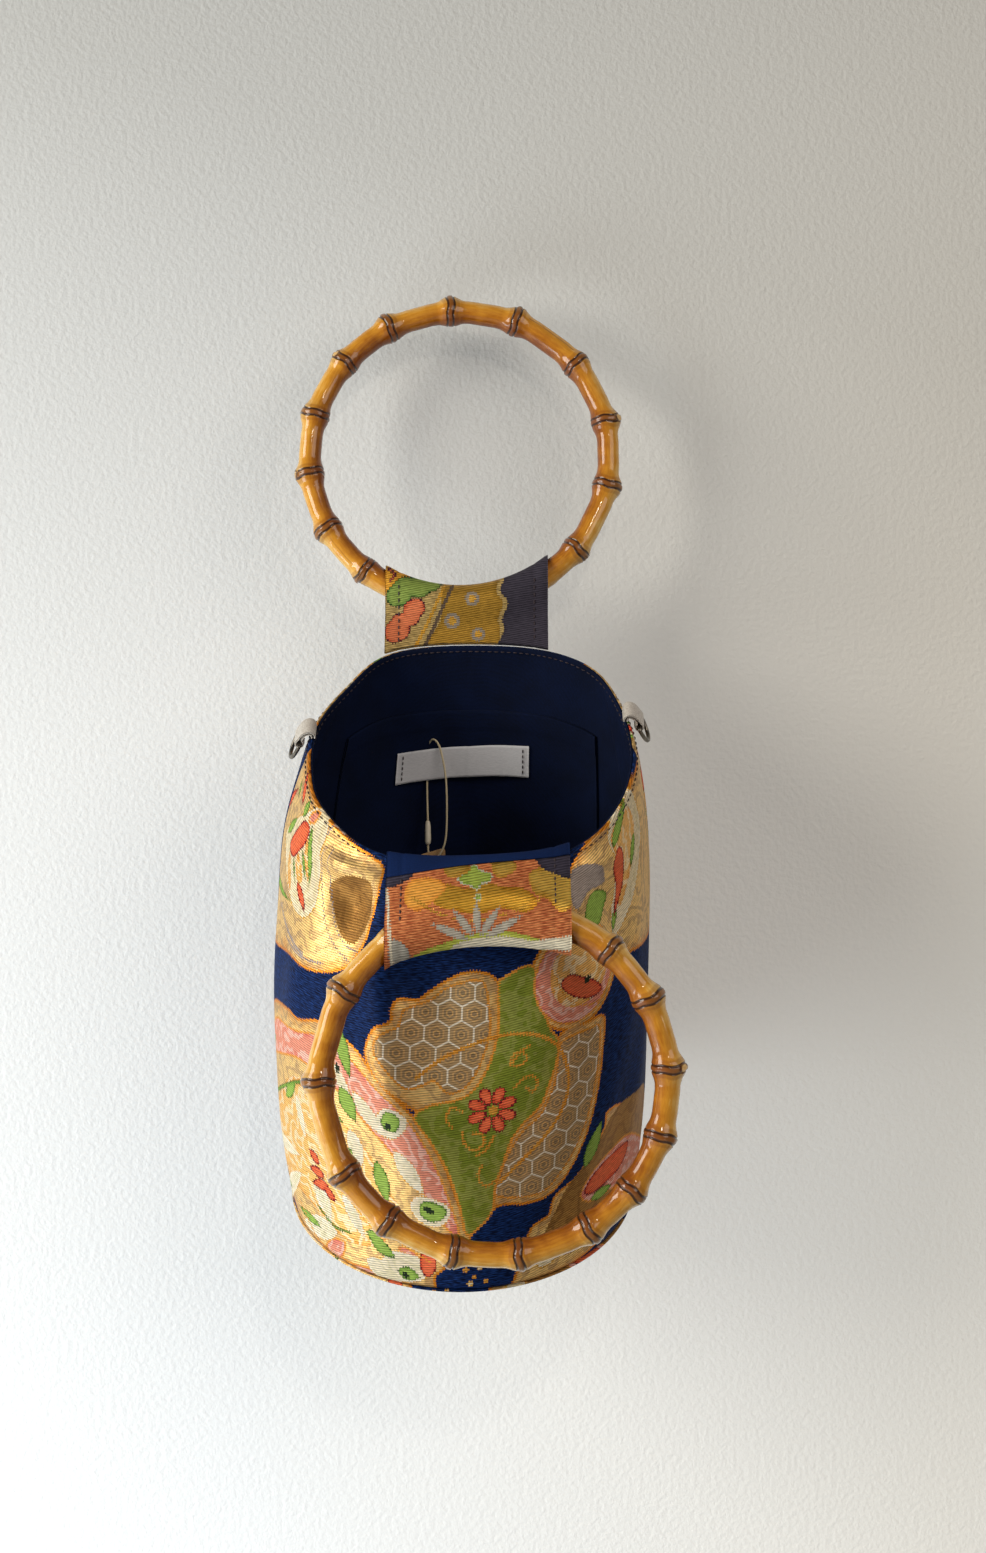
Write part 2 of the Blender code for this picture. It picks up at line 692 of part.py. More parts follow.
def build():
    """Build the whole bag."""
    clear_scene()
    assembly = Assembly("bamboo_handle_bag")
    brocade = {
        name: new_material(name, colour, 0.5)
        for name, colour in (
            ("outer_brocade", (0.52, 0.30, 0.10)),
            ("tab_brocade", (0.60, 0.28, 0.10)),
        )
    }
    lining = new_material("navy_cotton", (0.008, 0.018, 0.055), 0.9)
    bamboo = new_material("varnished_bamboo", (0.56, 0.27, 0.07), 0.25)
    leather = new_material("silver_leather", (0.62, 0.58, 0.54), 0.45)
    nickel = new_material("dark_nickel", (0.20, 0.20, 0.21), 0.3, 1.0)
    woven = new_material("white_woven", (0.82, 0.82, 0.80), 0.8)
    cotton = new_material("cream_cotton", (0.72, 0.62, 0.44), 0.85)
    plastic = new_material("cream_plastic", (0.80, 0.74, 0.62), 0.4)
    card = new_material("kraft_card", (0.55, 0.38, 0.20), 0.85)

    front_ring = make_front_ring()
    rear_hinge = REAR_RING.hinge(top=False)
    front_hinge = front_ring.hinge(top=True)
    sides = {name: SideTab(angle) for name, angle in SIDE_TAB_ANGLES.items()}

    bag_pivot = assembly.pivot("bag_axis", rear_hinge)
    front_pivot = assembly.pivot("front_ring_axis", front_hinge)
    assembly.add("rear_ring", REAR_RING.curve("rear_ring"), bamboo)
    assembly.add("front_ring", front_ring.curve("front_ring"), bamboo, front_pivot)
    add_shell(assembly, bag_pivot, brocade["outer_brocade"], lining)
    add_pocket(assembly, bag_pivot, lining)
    add_label(assembly, bag_pivot, woven)
    tab_cloth = brocade["tab_brocade"]
    add_ring_tab(assembly, bag_pivot, "rear_tab", tab_cloth, REAR_RING, REAR_TAB_X, "rear")
    add_ring_tab(assembly, bag_pivot, "front_tab", tab_cloth, front_ring, FRONT_TAB_X, "front")
    for side_name, side in sides.items():
        side.add_tab(assembly, bag_pivot, f"{side_name}_side_tab", leather)
        d_pivot = assembly.pivot(f"{side_name}_d_ring_axis", side.bar)
        side.add_d_ring(assembly, d_pivot, f"{side_name}_d_ring", nickel)
    add_hang_tag(assembly, bag_pivot, cotton, plastic, card)


if __name__ == "__main__":
    build()
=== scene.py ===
"""Looks of a small brocade bucket bag that hangs by one of its two bamboo ring handles.

Everything is in metres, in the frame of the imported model: +Z up, +X to the right, +Y to the wall. Cloth
patterns are drawn in millimetres on the cloth itself. Where a figure of the pattern is placed by a pixel of
the 986 x 1553 photograph, that pixel is first carried onto the cloth through the photograph's own camera.
"""

import logging
import math
from dataclasses import dataclass
from enum import Enum

import bpy
import numpy as np
from mathutils import Matrix, Vector


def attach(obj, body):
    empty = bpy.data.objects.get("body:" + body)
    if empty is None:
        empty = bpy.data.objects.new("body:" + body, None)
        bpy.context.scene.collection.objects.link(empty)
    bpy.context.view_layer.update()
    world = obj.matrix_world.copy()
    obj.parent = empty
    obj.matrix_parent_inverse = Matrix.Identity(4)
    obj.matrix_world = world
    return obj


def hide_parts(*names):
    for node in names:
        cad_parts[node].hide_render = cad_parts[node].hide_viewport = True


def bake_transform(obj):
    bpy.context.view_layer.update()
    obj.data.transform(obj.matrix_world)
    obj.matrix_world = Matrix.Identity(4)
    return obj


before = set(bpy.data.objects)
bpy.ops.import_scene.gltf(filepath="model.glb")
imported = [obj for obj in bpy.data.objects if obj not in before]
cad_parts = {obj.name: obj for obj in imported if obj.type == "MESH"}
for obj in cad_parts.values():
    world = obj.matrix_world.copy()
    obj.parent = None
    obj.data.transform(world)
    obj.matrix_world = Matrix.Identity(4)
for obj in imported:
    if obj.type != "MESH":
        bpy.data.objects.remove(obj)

LOG = logging.getLogger("bamboo_handle_bag")
MM = 0.001
GAP = 0.0003

Colour = tuple[float, float, float, float]


def linear(code: str) -> Colour:
    """Turn an sRGB hex colour into a linear one.

    Args:
        code: Six hex digits after a hash sign.

    Returns:
        Red, green, blue and a full alpha.
    """
    shares = [int(code[i : i + 2], 16) / 255 for i in (1, 3, 5)]
    values = [s / 12.92 if s <= 0.04045 else ((s + 0.055) / 1.055) ** 2.4 for s in shares]
    return (*values, 1.0)


def add_node(tree: bpy.types.NodeTree, kind: str, settings: dict | None = None, inputs: dict | None = None):
    """Add a node with its settings, values and links.

    Args:
        tree: The node tree that takes it.
        kind: Blender's name for the node's type.
        settings: Attributes of the node by name.
        inputs: A value or another node's output for each input, by name or number.

    Returns:
        The new node.
    """
    node = tree.nodes.new(kind)
    for name, value in (settings or {}).items():
        setattr(node, name, value)
    for name, value in (inputs or {}).items():
        if isinstance(value, bpy.types.NodeSocket):
            tree.links.new(value, node.inputs[name])
        else:
            node.inputs[name].default_value = value
    return node


def empty_material(name: str) -> tuple[bpy.types.Material, bpy.types.NodeTree, bpy.types.Node]:
    """Make a material with nothing in it but its output.

    Args:
        name: The finish's name.

    Returns:
        The material, its node tree and its output node.
    """
    material = bpy.data.materials.new(name)
    material.use_nodes = True
    tree = material.node_tree
    tree.nodes.clear()
    return material, tree, tree.nodes.new("ShaderNodeOutputMaterial")


def smoothstep(value):
    """Ease a value or an array from 0 to 1 without a corner at either end."""
    held = np.clip(value, 0.0, 1.0)
    return held * held * (3.0 - 2.0 * held)


def mesh_from_arrays(name: str, points: np.ndarray, quads: np.ndarray) -> bpy.types.Mesh:
    """Make a smooth mesh from arrays.

    Args:
        name: The mesh's name.
        points: One row of three coordinates a vertex.
        quads: One row of four vertex numbers a face.

    Returns:
        The mesh.
    """
    mesh = bpy.data.meshes.new(name)
    mesh.vertices.add(len(points))
    mesh.vertices.foreach_set("co", np.ascontiguousarray(points, np.float32).ravel())
    mesh.loops.add(quads.size)
    mesh.loops.foreach_set("vertex_index", np.ascontiguousarray(quads, np.int32).ravel())
    mesh.polygons.add(len(quads))
    mesh.polygons.foreach_set("loop_start", np.arange(0, quads.size, 4, dtype=np.int32))
    mesh.update(calc_edges=True)
    mesh.shade_smooth()
    return mesh


def grid_quads(rows: int, columns: int, wrap_rows: bool = False, wrap_columns: bool = False) -> np.ndarray:
    """List the faces of a grid of points that are stored row by row.

    Args:
        rows: How many rows the grid has.
        columns: How many points a row has.
        wrap_rows: Whether the last row joins the first.
        wrap_columns: Whether the last point of a row joins its first.

    Returns:
        One row of four point numbers a face.
    """
    index = np.arange(rows * columns).reshape(rows, columns)
    if wrap_rows:
        index = np.vstack([index, index[:1]])
    if wrap_columns:
        index = np.hstack([index, index[:, :1]])
    corners = (index[:-1, :-1], index[:-1, 1:], index[1:, 1:], index[1:, :-1])
    return np.stack(corners, -1).reshape(-1, 4)


def set_attribute(mesh: bpy.types.Mesh, name: str, values: np.ndarray) -> None:
    """Store a number, or three, on each vertex.

    Args:
        mesh: The mesh.
        name: The attribute's name, as the materials read it.
        values: One number or one row of three a vertex.
    """
    flat = np.ascontiguousarray(values, np.float32)
    if flat.ndim == 1:
        mesh.attributes.new(name, "FLOAT", "POINT").data.foreach_set("value", flat)
    else:
        mesh.attributes.new(name, "FLOAT_VECTOR", "POINT").data.foreach_set("vector", flat.ravel())


def add_piece(name: str, data: bpy.types.ID, material: bpy.types.Material) -> bpy.types.Object:
    """Link a piece to the scene and dress it.

    Args:
        name: The piece's name.
        data: Its mesh or curve.
        material: Its finish.

    Returns:
        The new object.
    """
    piece = bpy.data.objects.new(name, data)
    data.materials.append(material)
    bpy.context.scene.collection.objects.link(piece)
    return piece


def report(piece: bpy.types.Object) -> None:
    """Log a finished piece and its size."""
    count = len(piece.data.polygons) if piece.type == "MESH" else len(piece.data.splines)
    LOG.info("%s: %d faces or splines", piece.name, count)


def smooth_line(points: np.ndarray, closed: bool, steps: int = 6) -> np.ndarray:
    """Run a smooth curve through points.

    Args:
        points: The points, one a row.
        closed: Whether the curve comes back to its first point.
        steps: How many pieces each span gets.

    Returns:
        The curve's points.
    """
    if closed:
        padded = np.vstack([points[-1:], points, points[:2]])
    else:
        padded = np.vstack([2 * points[:1] - points[1:2], points, 2 * points[-1:] - points[-2:-1]])
    t = (np.arange(steps) / steps)[:, None]
    spans = []
    for before, start, end, after in zip(padded, padded[1:], padded[2:], padded[3:]):
        spans.append(
            0.5
            * (
                2 * start
                + (end - before) * t
                + (2 * before - 5 * start + 4 * end - after) * t**2
                + (3 * start - before - 3 * end + after) * t**3
            )
        )
    return np.vstack(spans if closed else [*spans, points[-1:]])


def even_line(points: np.ndarray, count: int) -> np.ndarray:
    """Read evenly spaced points from a line.

    Args:
        points: The line's points.
        count: How many points to read.

    Returns:
        The evenly spaced points.
    """
    travelled = np.concatenate([[0.0], np.cumsum(np.linalg.norm(np.diff(points, axis=0), axis=1))])
    wanted = np.linspace(0.0, travelled[-1], count)
    return np.stack([np.interp(wanted, travelled, points[:, i]) for i in range(points.shape[1])], -1)


@dataclass(frozen=True)
class PhotoCamera:
    """The camera that the photograph was taken with: level, looking along +Y."""

    place: tuple[float, float, float] = (0.0155, -1.0096, -0.2105)
    focal_pixels: float = 2167.0
    width: int = 986
    height: int = 1553
    sensor_mm: float = 36.0

    def pixels(self, points: np.ndarray) -> np.ndarray:
        """Say where points of the frame show in the photograph."""
        away = points[..., 1] - self.place[1]
        x = self.width / 2 + (points[..., 0] - self.place[0]) * self.focal_pixels / away
        y = self.height / 2 - (points[..., 2] - self.place[2]) * self.focal_pixels / away
        return np.stack([x, y], -1)

    def on_plane(self, pixels: np.ndarray, y: float) -> np.ndarray:
        """Carry pixels onto the upright plane at a Y, as X and height."""
        away = (y - self.place[1]) / self.focal_pixels
        x = self.place[0] + (pixels[..., 0] - self.width / 2) * away
        z = self.place[2] - (pixels[..., 1] - self.height / 2) * away
        return np.stack([x, z], -1)

    def build(self) -> None:
        """Add the camera to the scene."""
        data = bpy.data.cameras.new("photo_camera")
        data.sensor_width = self.sensor_mm
        data.lens = self.focal_pixels / self.height * self.sensor_mm
        camera = bpy.data.objects.new("photo_camera", data)
        camera.location = self.place
        camera.rotation_euler = (math.pi / 2, 0.0, 0.0)
        bpy.context.scene.collection.objects.link(camera)
        bpy.context.scene.camera = camera


CAMERA = PhotoCamera()


@dataclass(frozen=True)
class BagForm:
    """The outside of the bag's body as it hangs: a mouth and a base joined by a soft wall.

    A place on the wall is a drop, 0 at the mouth and 1 at the base, and an angle, 0 at the front and
    a quarter turn at +X.
    """

    mouth_centre: tuple[float, float, float] = (0.0065, -0.0808, -0.1980)
    mouth_half_width: float = 0.0700
    mouth_half_depth: float = 0.0835
    mouth_flat: float = 0.0765
    mouth_flat_power: float = 9.0
    mouth_flat_reach: float = 0.625
    mouth_slope: float = math.radians(40.0)
    base_centre: tuple[float, float, float] = (0.0020, -0.0480, -0.3887)
    base_radius: float = 0.0755
    base_slope: float = math.radians(26.2)
    side_bulge: float = 0.0092
    sideways_sag: float = -0.0022
    front_bulge: float = 0.0035
    bulge_skew: float = 0.85
    round_mm: float = 78.0
    tall_mm: float = 178.0
    step: float = 0.004

    @staticmethod
    def axes(slope) -> tuple[np.ndarray, np.ndarray]:
        """Give the forward direction and the upward normal of a loop's sloping plane."""
        slope = np.asarray(slope, float)
        zero = np.zeros_like(slope)
        forward = np.stack([zero, -np.cos(slope), -np.sin(slope)], -1)
        normal = np.stack([zero, -np.sin(slope), np.cos(slope)], -1)
        return forward, normal

    def plain_point(self, drop, angle) -> np.ndarray:
        """Give a point of the smooth wall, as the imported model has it."""
        drop, angle = np.broadcast_arrays(np.asarray(drop, float), np.asarray(angle, float))
        bulge = np.sin(math.pi * np.clip(drop, 0.0, 1.0) ** self.bulge_skew)
        share = drop[..., None]
        centre = np.array(self.mouth_centre) * (1 - share) + np.array(self.base_centre) * share
        centre[..., 0] += self.sideways_sag * bulge
        forward, _ = self.axes(self.mouth_slope + (self.base_slope - self.mouth_slope) * drop)
        half_width = self.mouth_half_width + (self.base_radius - self.mouth_half_width) * drop
        half_width = half_width + self.side_bulge * bulge
        depth = self.mouth_half_depth * np.cos(angle)
        power = self.mouth_flat_power
        mouth_depth = depth / (1.0 + (np.abs(depth) / self.mouth_flat) ** power) ** (1.0 / power)
        base_depth = self.base_radius * np.cos(angle)
        ease = smoothstep(drop / self.mouth_flat_reach)
        depth = mouth_depth + (base_depth - mouth_depth) * ease
        depth = depth + self.front_bulge * bulge * np.cos(angle)
        point = centre + forward * depth[..., None]
        point[..., 0] += half_width * np.sin(angle)
        return point

    def relief(self, drop, angle) -> np.ndarray:
        """Say how far the cloth stands off the smooth wall: its slack, puckers and soft dents."""
        drop, angle = np.broadcast_arrays(np.asarray(drop, float), np.asarray(angle, float))
        turn = np.degrees((angle + math.pi) % math.tau - math.pi)
        free = smoothstep(drop / 0.05) * smoothstep((1.0 - drop) / 0.06)
        height = np.zeros_like(drop)
        for dent in WALL_DENTS:
            height += dent.height_at(turn, drop)
        pull = np.zeros_like(drop)
        for dent in RIM_PULLS:
            pull += dent.height_at(turn, drop)
        slack = (
            np.sin(turn * 0.071 + 1.3) * np.sin(drop * 9.0 + 0.4)
            + 0.6 * np.sin(turn * 0.163 - drop * 6.0)
            + 0.4 * np.sin(turn * 0.31 + drop * 14.0 + 2.0)
        )
        return (height + slack * 0.0006) * free + pull

    def point(self, drop, angle, inset: float = 0.0) -> np.ndarray:
        """Give a point of the cloth wall.

        Args:
            drop: The place between mouth and base.
            angle: The place round the bag.
            inset: How far the point lies inside the cloth's outer face.

        Returns:
            The point.
        """
        lift = self.relief(drop, angle) - inset
        return self.plain_point(drop, angle) + self.normal(drop, angle) * np.asarray(lift)[..., None]

    def normal(self, drop, angle) -> np.ndarray:
        """Give the smooth wall's outward direction."""
        along = self.plain_point(drop + self.step, angle) - self.plain_point(drop - self.step, angle)
        across = self.plain_point(drop, angle + self.step) - self.plain_point(drop, angle - self.step)
        normal = np.cross(along, across)
        return normal / np.linalg.norm(normal, axis=-1, keepdims=True)

    def cloth_mm(self, drop, angle) -> np.ndarray:
        """Give a place's position on the cloth, in millimetres round and down."""
        drop, angle = np.broadcast_arrays(np.asarray(drop, float), np.asarray(angle, float))
        return np.stack([angle * self.round_mm, drop * self.tall_mm], -1)

    def mouth_angle(self, x, front: bool):
        """Find the angle at which the mouth's edge is over an X, in its front or its back half."""
        angle = np.arcsin((np.asarray(x, float) - self.mouth_centre[0]) / self.mouth_half_width)
        return angle if front else math.pi - angle


@dataclass(frozen=True)
class Dent:
    """A soft rise or hollow of the wall, long in one direction.

    Fields are its middle in degrees round and in drop, its half sizes, its turn and its height.
    """

    turn: float
    drop: float
    half_long: float
    half_short: float
    tilt: float
    height: float

    def height_at(self, turn: np.ndarray, drop: np.ndarray) -> np.ndarray:
        """Give its height at places on the wall."""
        across = (turn - self.turn) * math.radians(1.0) * 0.078
        down = (drop - self.drop) * 0.19
        tilt = math.radians(self.tilt)
        long = across * math.cos(tilt) + down * math.sin(tilt)
        short = down * math.cos(tilt) - across * math.sin(tilt)
        return self.height * np.exp(-((long / self.half_long) ** 2) - (short / self.half_short) ** 2)


WALL_DENTS = (
    Dent(-92.0, 0.16, 0.040, 0.020, 0.0, 0.0010),
    Dent(-44.0, 0.062, 0.015, 0.0050, -8.0, 0.0044),
    Dent(-40.0, 0.140, 0.012, 0.0100, 0.0, -0.0062),
    Dent(-52.0, 0.30, 0.030, 0.0100, -62.0, 0.0016),
    Dent(48.0, 0.065, 0.014, 0.0055, 16.0, 0.0036),
    Dent(52.0, 0.18, 0.024, 0.0085, 70.0, -0.0034),
    Dent(-23.0, 0.38, 0.046, 0.0090, 79.0, 0.0042),
    Dent(-9.0, 0.28, 0.026, 0.0120, 72.0, -0.0034),
    Dent(0.0, 0.62, 0.050, 0.045, 0.0, 0.0014),
    Dent(-30.0, 0.86, 0.030, 0.014, 20.0, -0.0012),
    Dent(38.0, 0.84, 0.030, 0.014, -24.0, -0.0012),
)

# The mouth's edge is drawn in behind the left side tab and stands out behind the right one.
RIM_PULLS = (
    Dent(-124.0, 0.0, 0.0230, 0.042, 0.0, -0.0032),
    Dent(131.0, 0.0, 0.0190, 0.042, 0.0, 0.0026),
    Dent(-66.0, 0.0, 0.0150, 0.030, 0.0, 0.0016),
)

FORM = BagForm()


class Layer(Enum):
    """The yarns of the figured cloth, from the ones that are painted first to the ones on top."""

    CLOUD = "cloud"
    KIKKO = "kikko"
    FIELD = "field"
    TAUPE = "taupe"
    CREAM = "cream"
    ROSE = "rose"
    AMBER = "amber"
    PEARL = "pearl"
    LEAF = "leaf"
    CORAL = "coral"
    SCROLL = "scroll"
    SILVER = "silver"
    DARK = "dark"


class Shape(Enum):
    """How a figure's points are read."""

    BLOB = "a smooth closed line through the points"
    SCALLOPS = "a closed chain of arcs that swell out between the points"
    PETAL = "a pointed oval from the first point to the second"
    LINE = "an open smooth line through the points"
    DAISY = "petals round the point"
    DISC = "a round spot on the point"


@dataclass(frozen=True)
class Figure:
    """A figure of the woven pattern, placed by pixels of the photograph.

    size is in millimetres: a petal's width, a line's width, or a daisy's or disc's radius. For scallops it
    is the arcs' rise as a share of their span.
    """

    layer: Layer
    shape: Shape
    points: tuple[tuple[float, float], ...]
    size: float = 0.0
    petals: int = 8

    def outlines(self, cloth_points: np.ndarray) -> list[np.ndarray]:
        """Draw the figure's closed outlines on the cloth.

        Args:
            cloth_points: The figure's points in cloth millimetres.

        Returns:
            One array of points for each outline.
        """
        if self.shape is Shape.BLOB:
            return [smooth_line(cloth_points, closed=True, steps=5)]
        if self.shape is Shape.SCALLOPS:
            return [self.scalloped(cloth_points)]
        if self.shape is Shape.PETAL:
            return [self.petal(cloth_points[0], cloth_points[1], self.size)]
        if self.shape is Shape.DAISY:
            centre = cloth_points[0]
            made = []
            for number in range(self.petals):
                turn = math.tau * (number + 0.5) / self.petals
                way = np.array([math.cos(turn), math.sin(turn)])
                width = 2.4 * self.size / self.petals * 1.9
                made.append(self.oval(centre + way * self.size * 0.22, centre + way * self.size, width))
            return made
        turns = np.linspace(0.0, math.tau, 28, endpoint=False)
        return [cloth_points[0] + self.size * np.stack([np.cos(turns), np.sin(turns)], -1)]

    def scalloped(self, points: np.ndarray) -> np.ndarray:
        """Join points by arcs that swell to the left of the way round."""
        centre = points.mean(0)
        drawn = []
        for start, end in zip(points, np.roll(points, -1, axis=0)):
            span = end - start
            out = np.array([span[1], -span[0]])
            if np.dot(out, (start + end) / 2 - centre) < 0:
                out = -out
            t = np.linspace(0.0, 1.0, 7, endpoint=False)[:, None]
            drawn.append(start + span * t + out * self.size * np.sin(math.pi * t))
        return np.vstack(drawn)

    @staticmethod
    def petal(base: np.ndarray, tip: np.ndarray, width: float) -> np.ndarray:
        """Draw a pointed oval between two points."""
        t = np.linspace(0.0, 1.0, 12)
        swell = np.sin(math.pi * t**0.85) ** 0.9 * width / 2
        way = tip - base
        side = np.array([-way[1], way[0]]) / max(float(np.hypot(*way)), 1e-9)
        spine = base + way * t[:, None]
        return np.vstack([spine + side * swell[:, None], (spine - side * swell[:, None])[::-1][1:-1]])

    @staticmethod
    def oval(base: np.ndarray, tip: np.ndarray, width: float) -> np.ndarray:
        """Draw a rounded petal, blunt at its tip and narrow at its base."""
        turns = np.linspace(0.0, math.tau, 18, endpoint=False)
        way = (tip - base) / 2
        side = np.array([-way[1], way[0]]) / max(float(np.hypot(*way)), 1e-9)
        fullness = 0.62 + 0.38 * np.cos(turns)
        along = np.cos(turns)[:, None] * way
        across = np.sin(turns)[:, None] * side * (width / 2 * (0.45 + fullness * 0.6))[:, None]
        return (base + tip) / 2 + along + across


def distance_to_line(spots: np.ndarray, line: np.ndarray, closed: bool) -> np.ndarray:
    """Measure how far spots are from a line, and inside a closed one as a negative distance.

    Args:
        spots: The spots, one a row.
        line: The line's points.
        closed: Whether the line closes and has an inside.

    Returns:
        One distance a spot.
    """
    start = line if closed else line[:-1]
    end = np.roll(line, -1, axis=0) if closed else line[1:]
    nearest = np.full(len(spots), 1e9)
    inside = np.zeros(len(spots), bool)
    for a, b in zip(start, end):
        edge = b - a
        offset = spots - a
        along = np.clip(offset @ edge / max(float(edge @ edge), 1e-12), 0.0, 1.0)
        nearest = np.minimum(nearest, np.hypot(*(offset - along[:, None] * edge).T))
        if closed and a[1] != b[1]:
            crosses = (a[1] > spots[:, 1]) != (b[1] > spots[:, 1])
            at = a[0] + (spots[:, 1] - a[1]) * edge[0] / edge[1]
            inside ^= crosses & (spots[:, 0] < at)
    return np.where(inside, -nearest, nearest)


@dataclass
class PatternSheet:
    """A stretch of figured cloth: its figures, and how photograph pixels reach it."""

    figures: tuple[Figure, ...]
    reach_mm: float = 3.0

    def cloth_points(self, pixels: np.ndarray) -> np.ndarray:
        """Carry pixels onto the cloth, in its millimetres."""
        raise NotImplementedError

    def draw(self, mesh: bpy.types.Mesh, spots: np.ndarray) -> None:
        """Store each yarn's distance from its figures on a mesh.

        Args:
            mesh: The mesh of the cloth.
            spots: Each vertex's place on the cloth, in millimetres.
        """
        for layer in Layer:
            field = np.full(len(spots), self.reach_mm)
            for figure in (f for f in self.figures if f.layer is layer):
                self.add_figure(field, spots, figure)
            set_attribute(mesh, layer.value, field)
        set_attribute(mesh, "cloth", np.column_stack([spots, np.zeros(len(spots))]))

    def add_figure(self, field: np.ndarray, spots: np.ndarray, figure: Figure) -> None:
        """Take a figure into a yarn's field, near the figure alone."""
        placed = self.cloth_points(np.array(figure.points, float))
        if figure.shape is Shape.LINE:
            outlines, closed, half = [smooth_line(placed, closed=False)], False, figure.size / 2
        else:
            outlines, closed, half = figure.outlines(placed), True, 0.0
        for outline in outlines:
            low, high = outline.min(0) - self.reach_mm - half, outline.max(0) + self.reach_mm + half
            near = np.flatnonzero(((spots > low) & (spots < high)).all(1))
            if len(near):
                found = distance_to_line(spots[near], outline, closed) - half
                field[near] = np.minimum(field[near], found)


class BodySheet(PatternSheet):
    """The cloth of the bag's front, whose pixels are looked up on the curved wall."""

    def __init__(self, figures: tuple[Figure, ...]) -> None:
        """Prepare the table that leads from pixels to the wall."""
        super().__init__(figures)
        drops, angles = np.meshgrid(np.linspace(0.0, 1.03, 360), np.radians(np.linspace(-104, 104, 640)))
        self.known_cloth = FORM.cloth_mm(drops, angles).reshape(-1, 2)
        self.known_pixels = CAMERA.pixels(FORM.point(drops, angles)).reshape(-1, 2)

    def cloth_points(self, pixels: np.ndarray) -> np.ndarray:
        """Carry pixels onto the wall by its nearest known place."""
        found = [np.argmin(((self.known_pixels - pixel) ** 2).sum(1)) for pixel in pixels]
        return self.known_cloth[found]


class FlatSheet(PatternSheet):
    """The cloth of a tab, which faces the camera on one upright plane."""

    def __init__(self, figures: tuple[Figure, ...], y: float) -> None:
        """Keep the plane's place."""
        super().__init__(figures)
        self.y = y

    def cloth_points(self, pixels: np.ndarray) -> np.ndarray:
        """Carry pixels onto the plane, in millimetres across and down."""
        placed = CAMERA.on_plane(pixels, self.y) / MM
        return placed * np.array([1.0, -1.0])


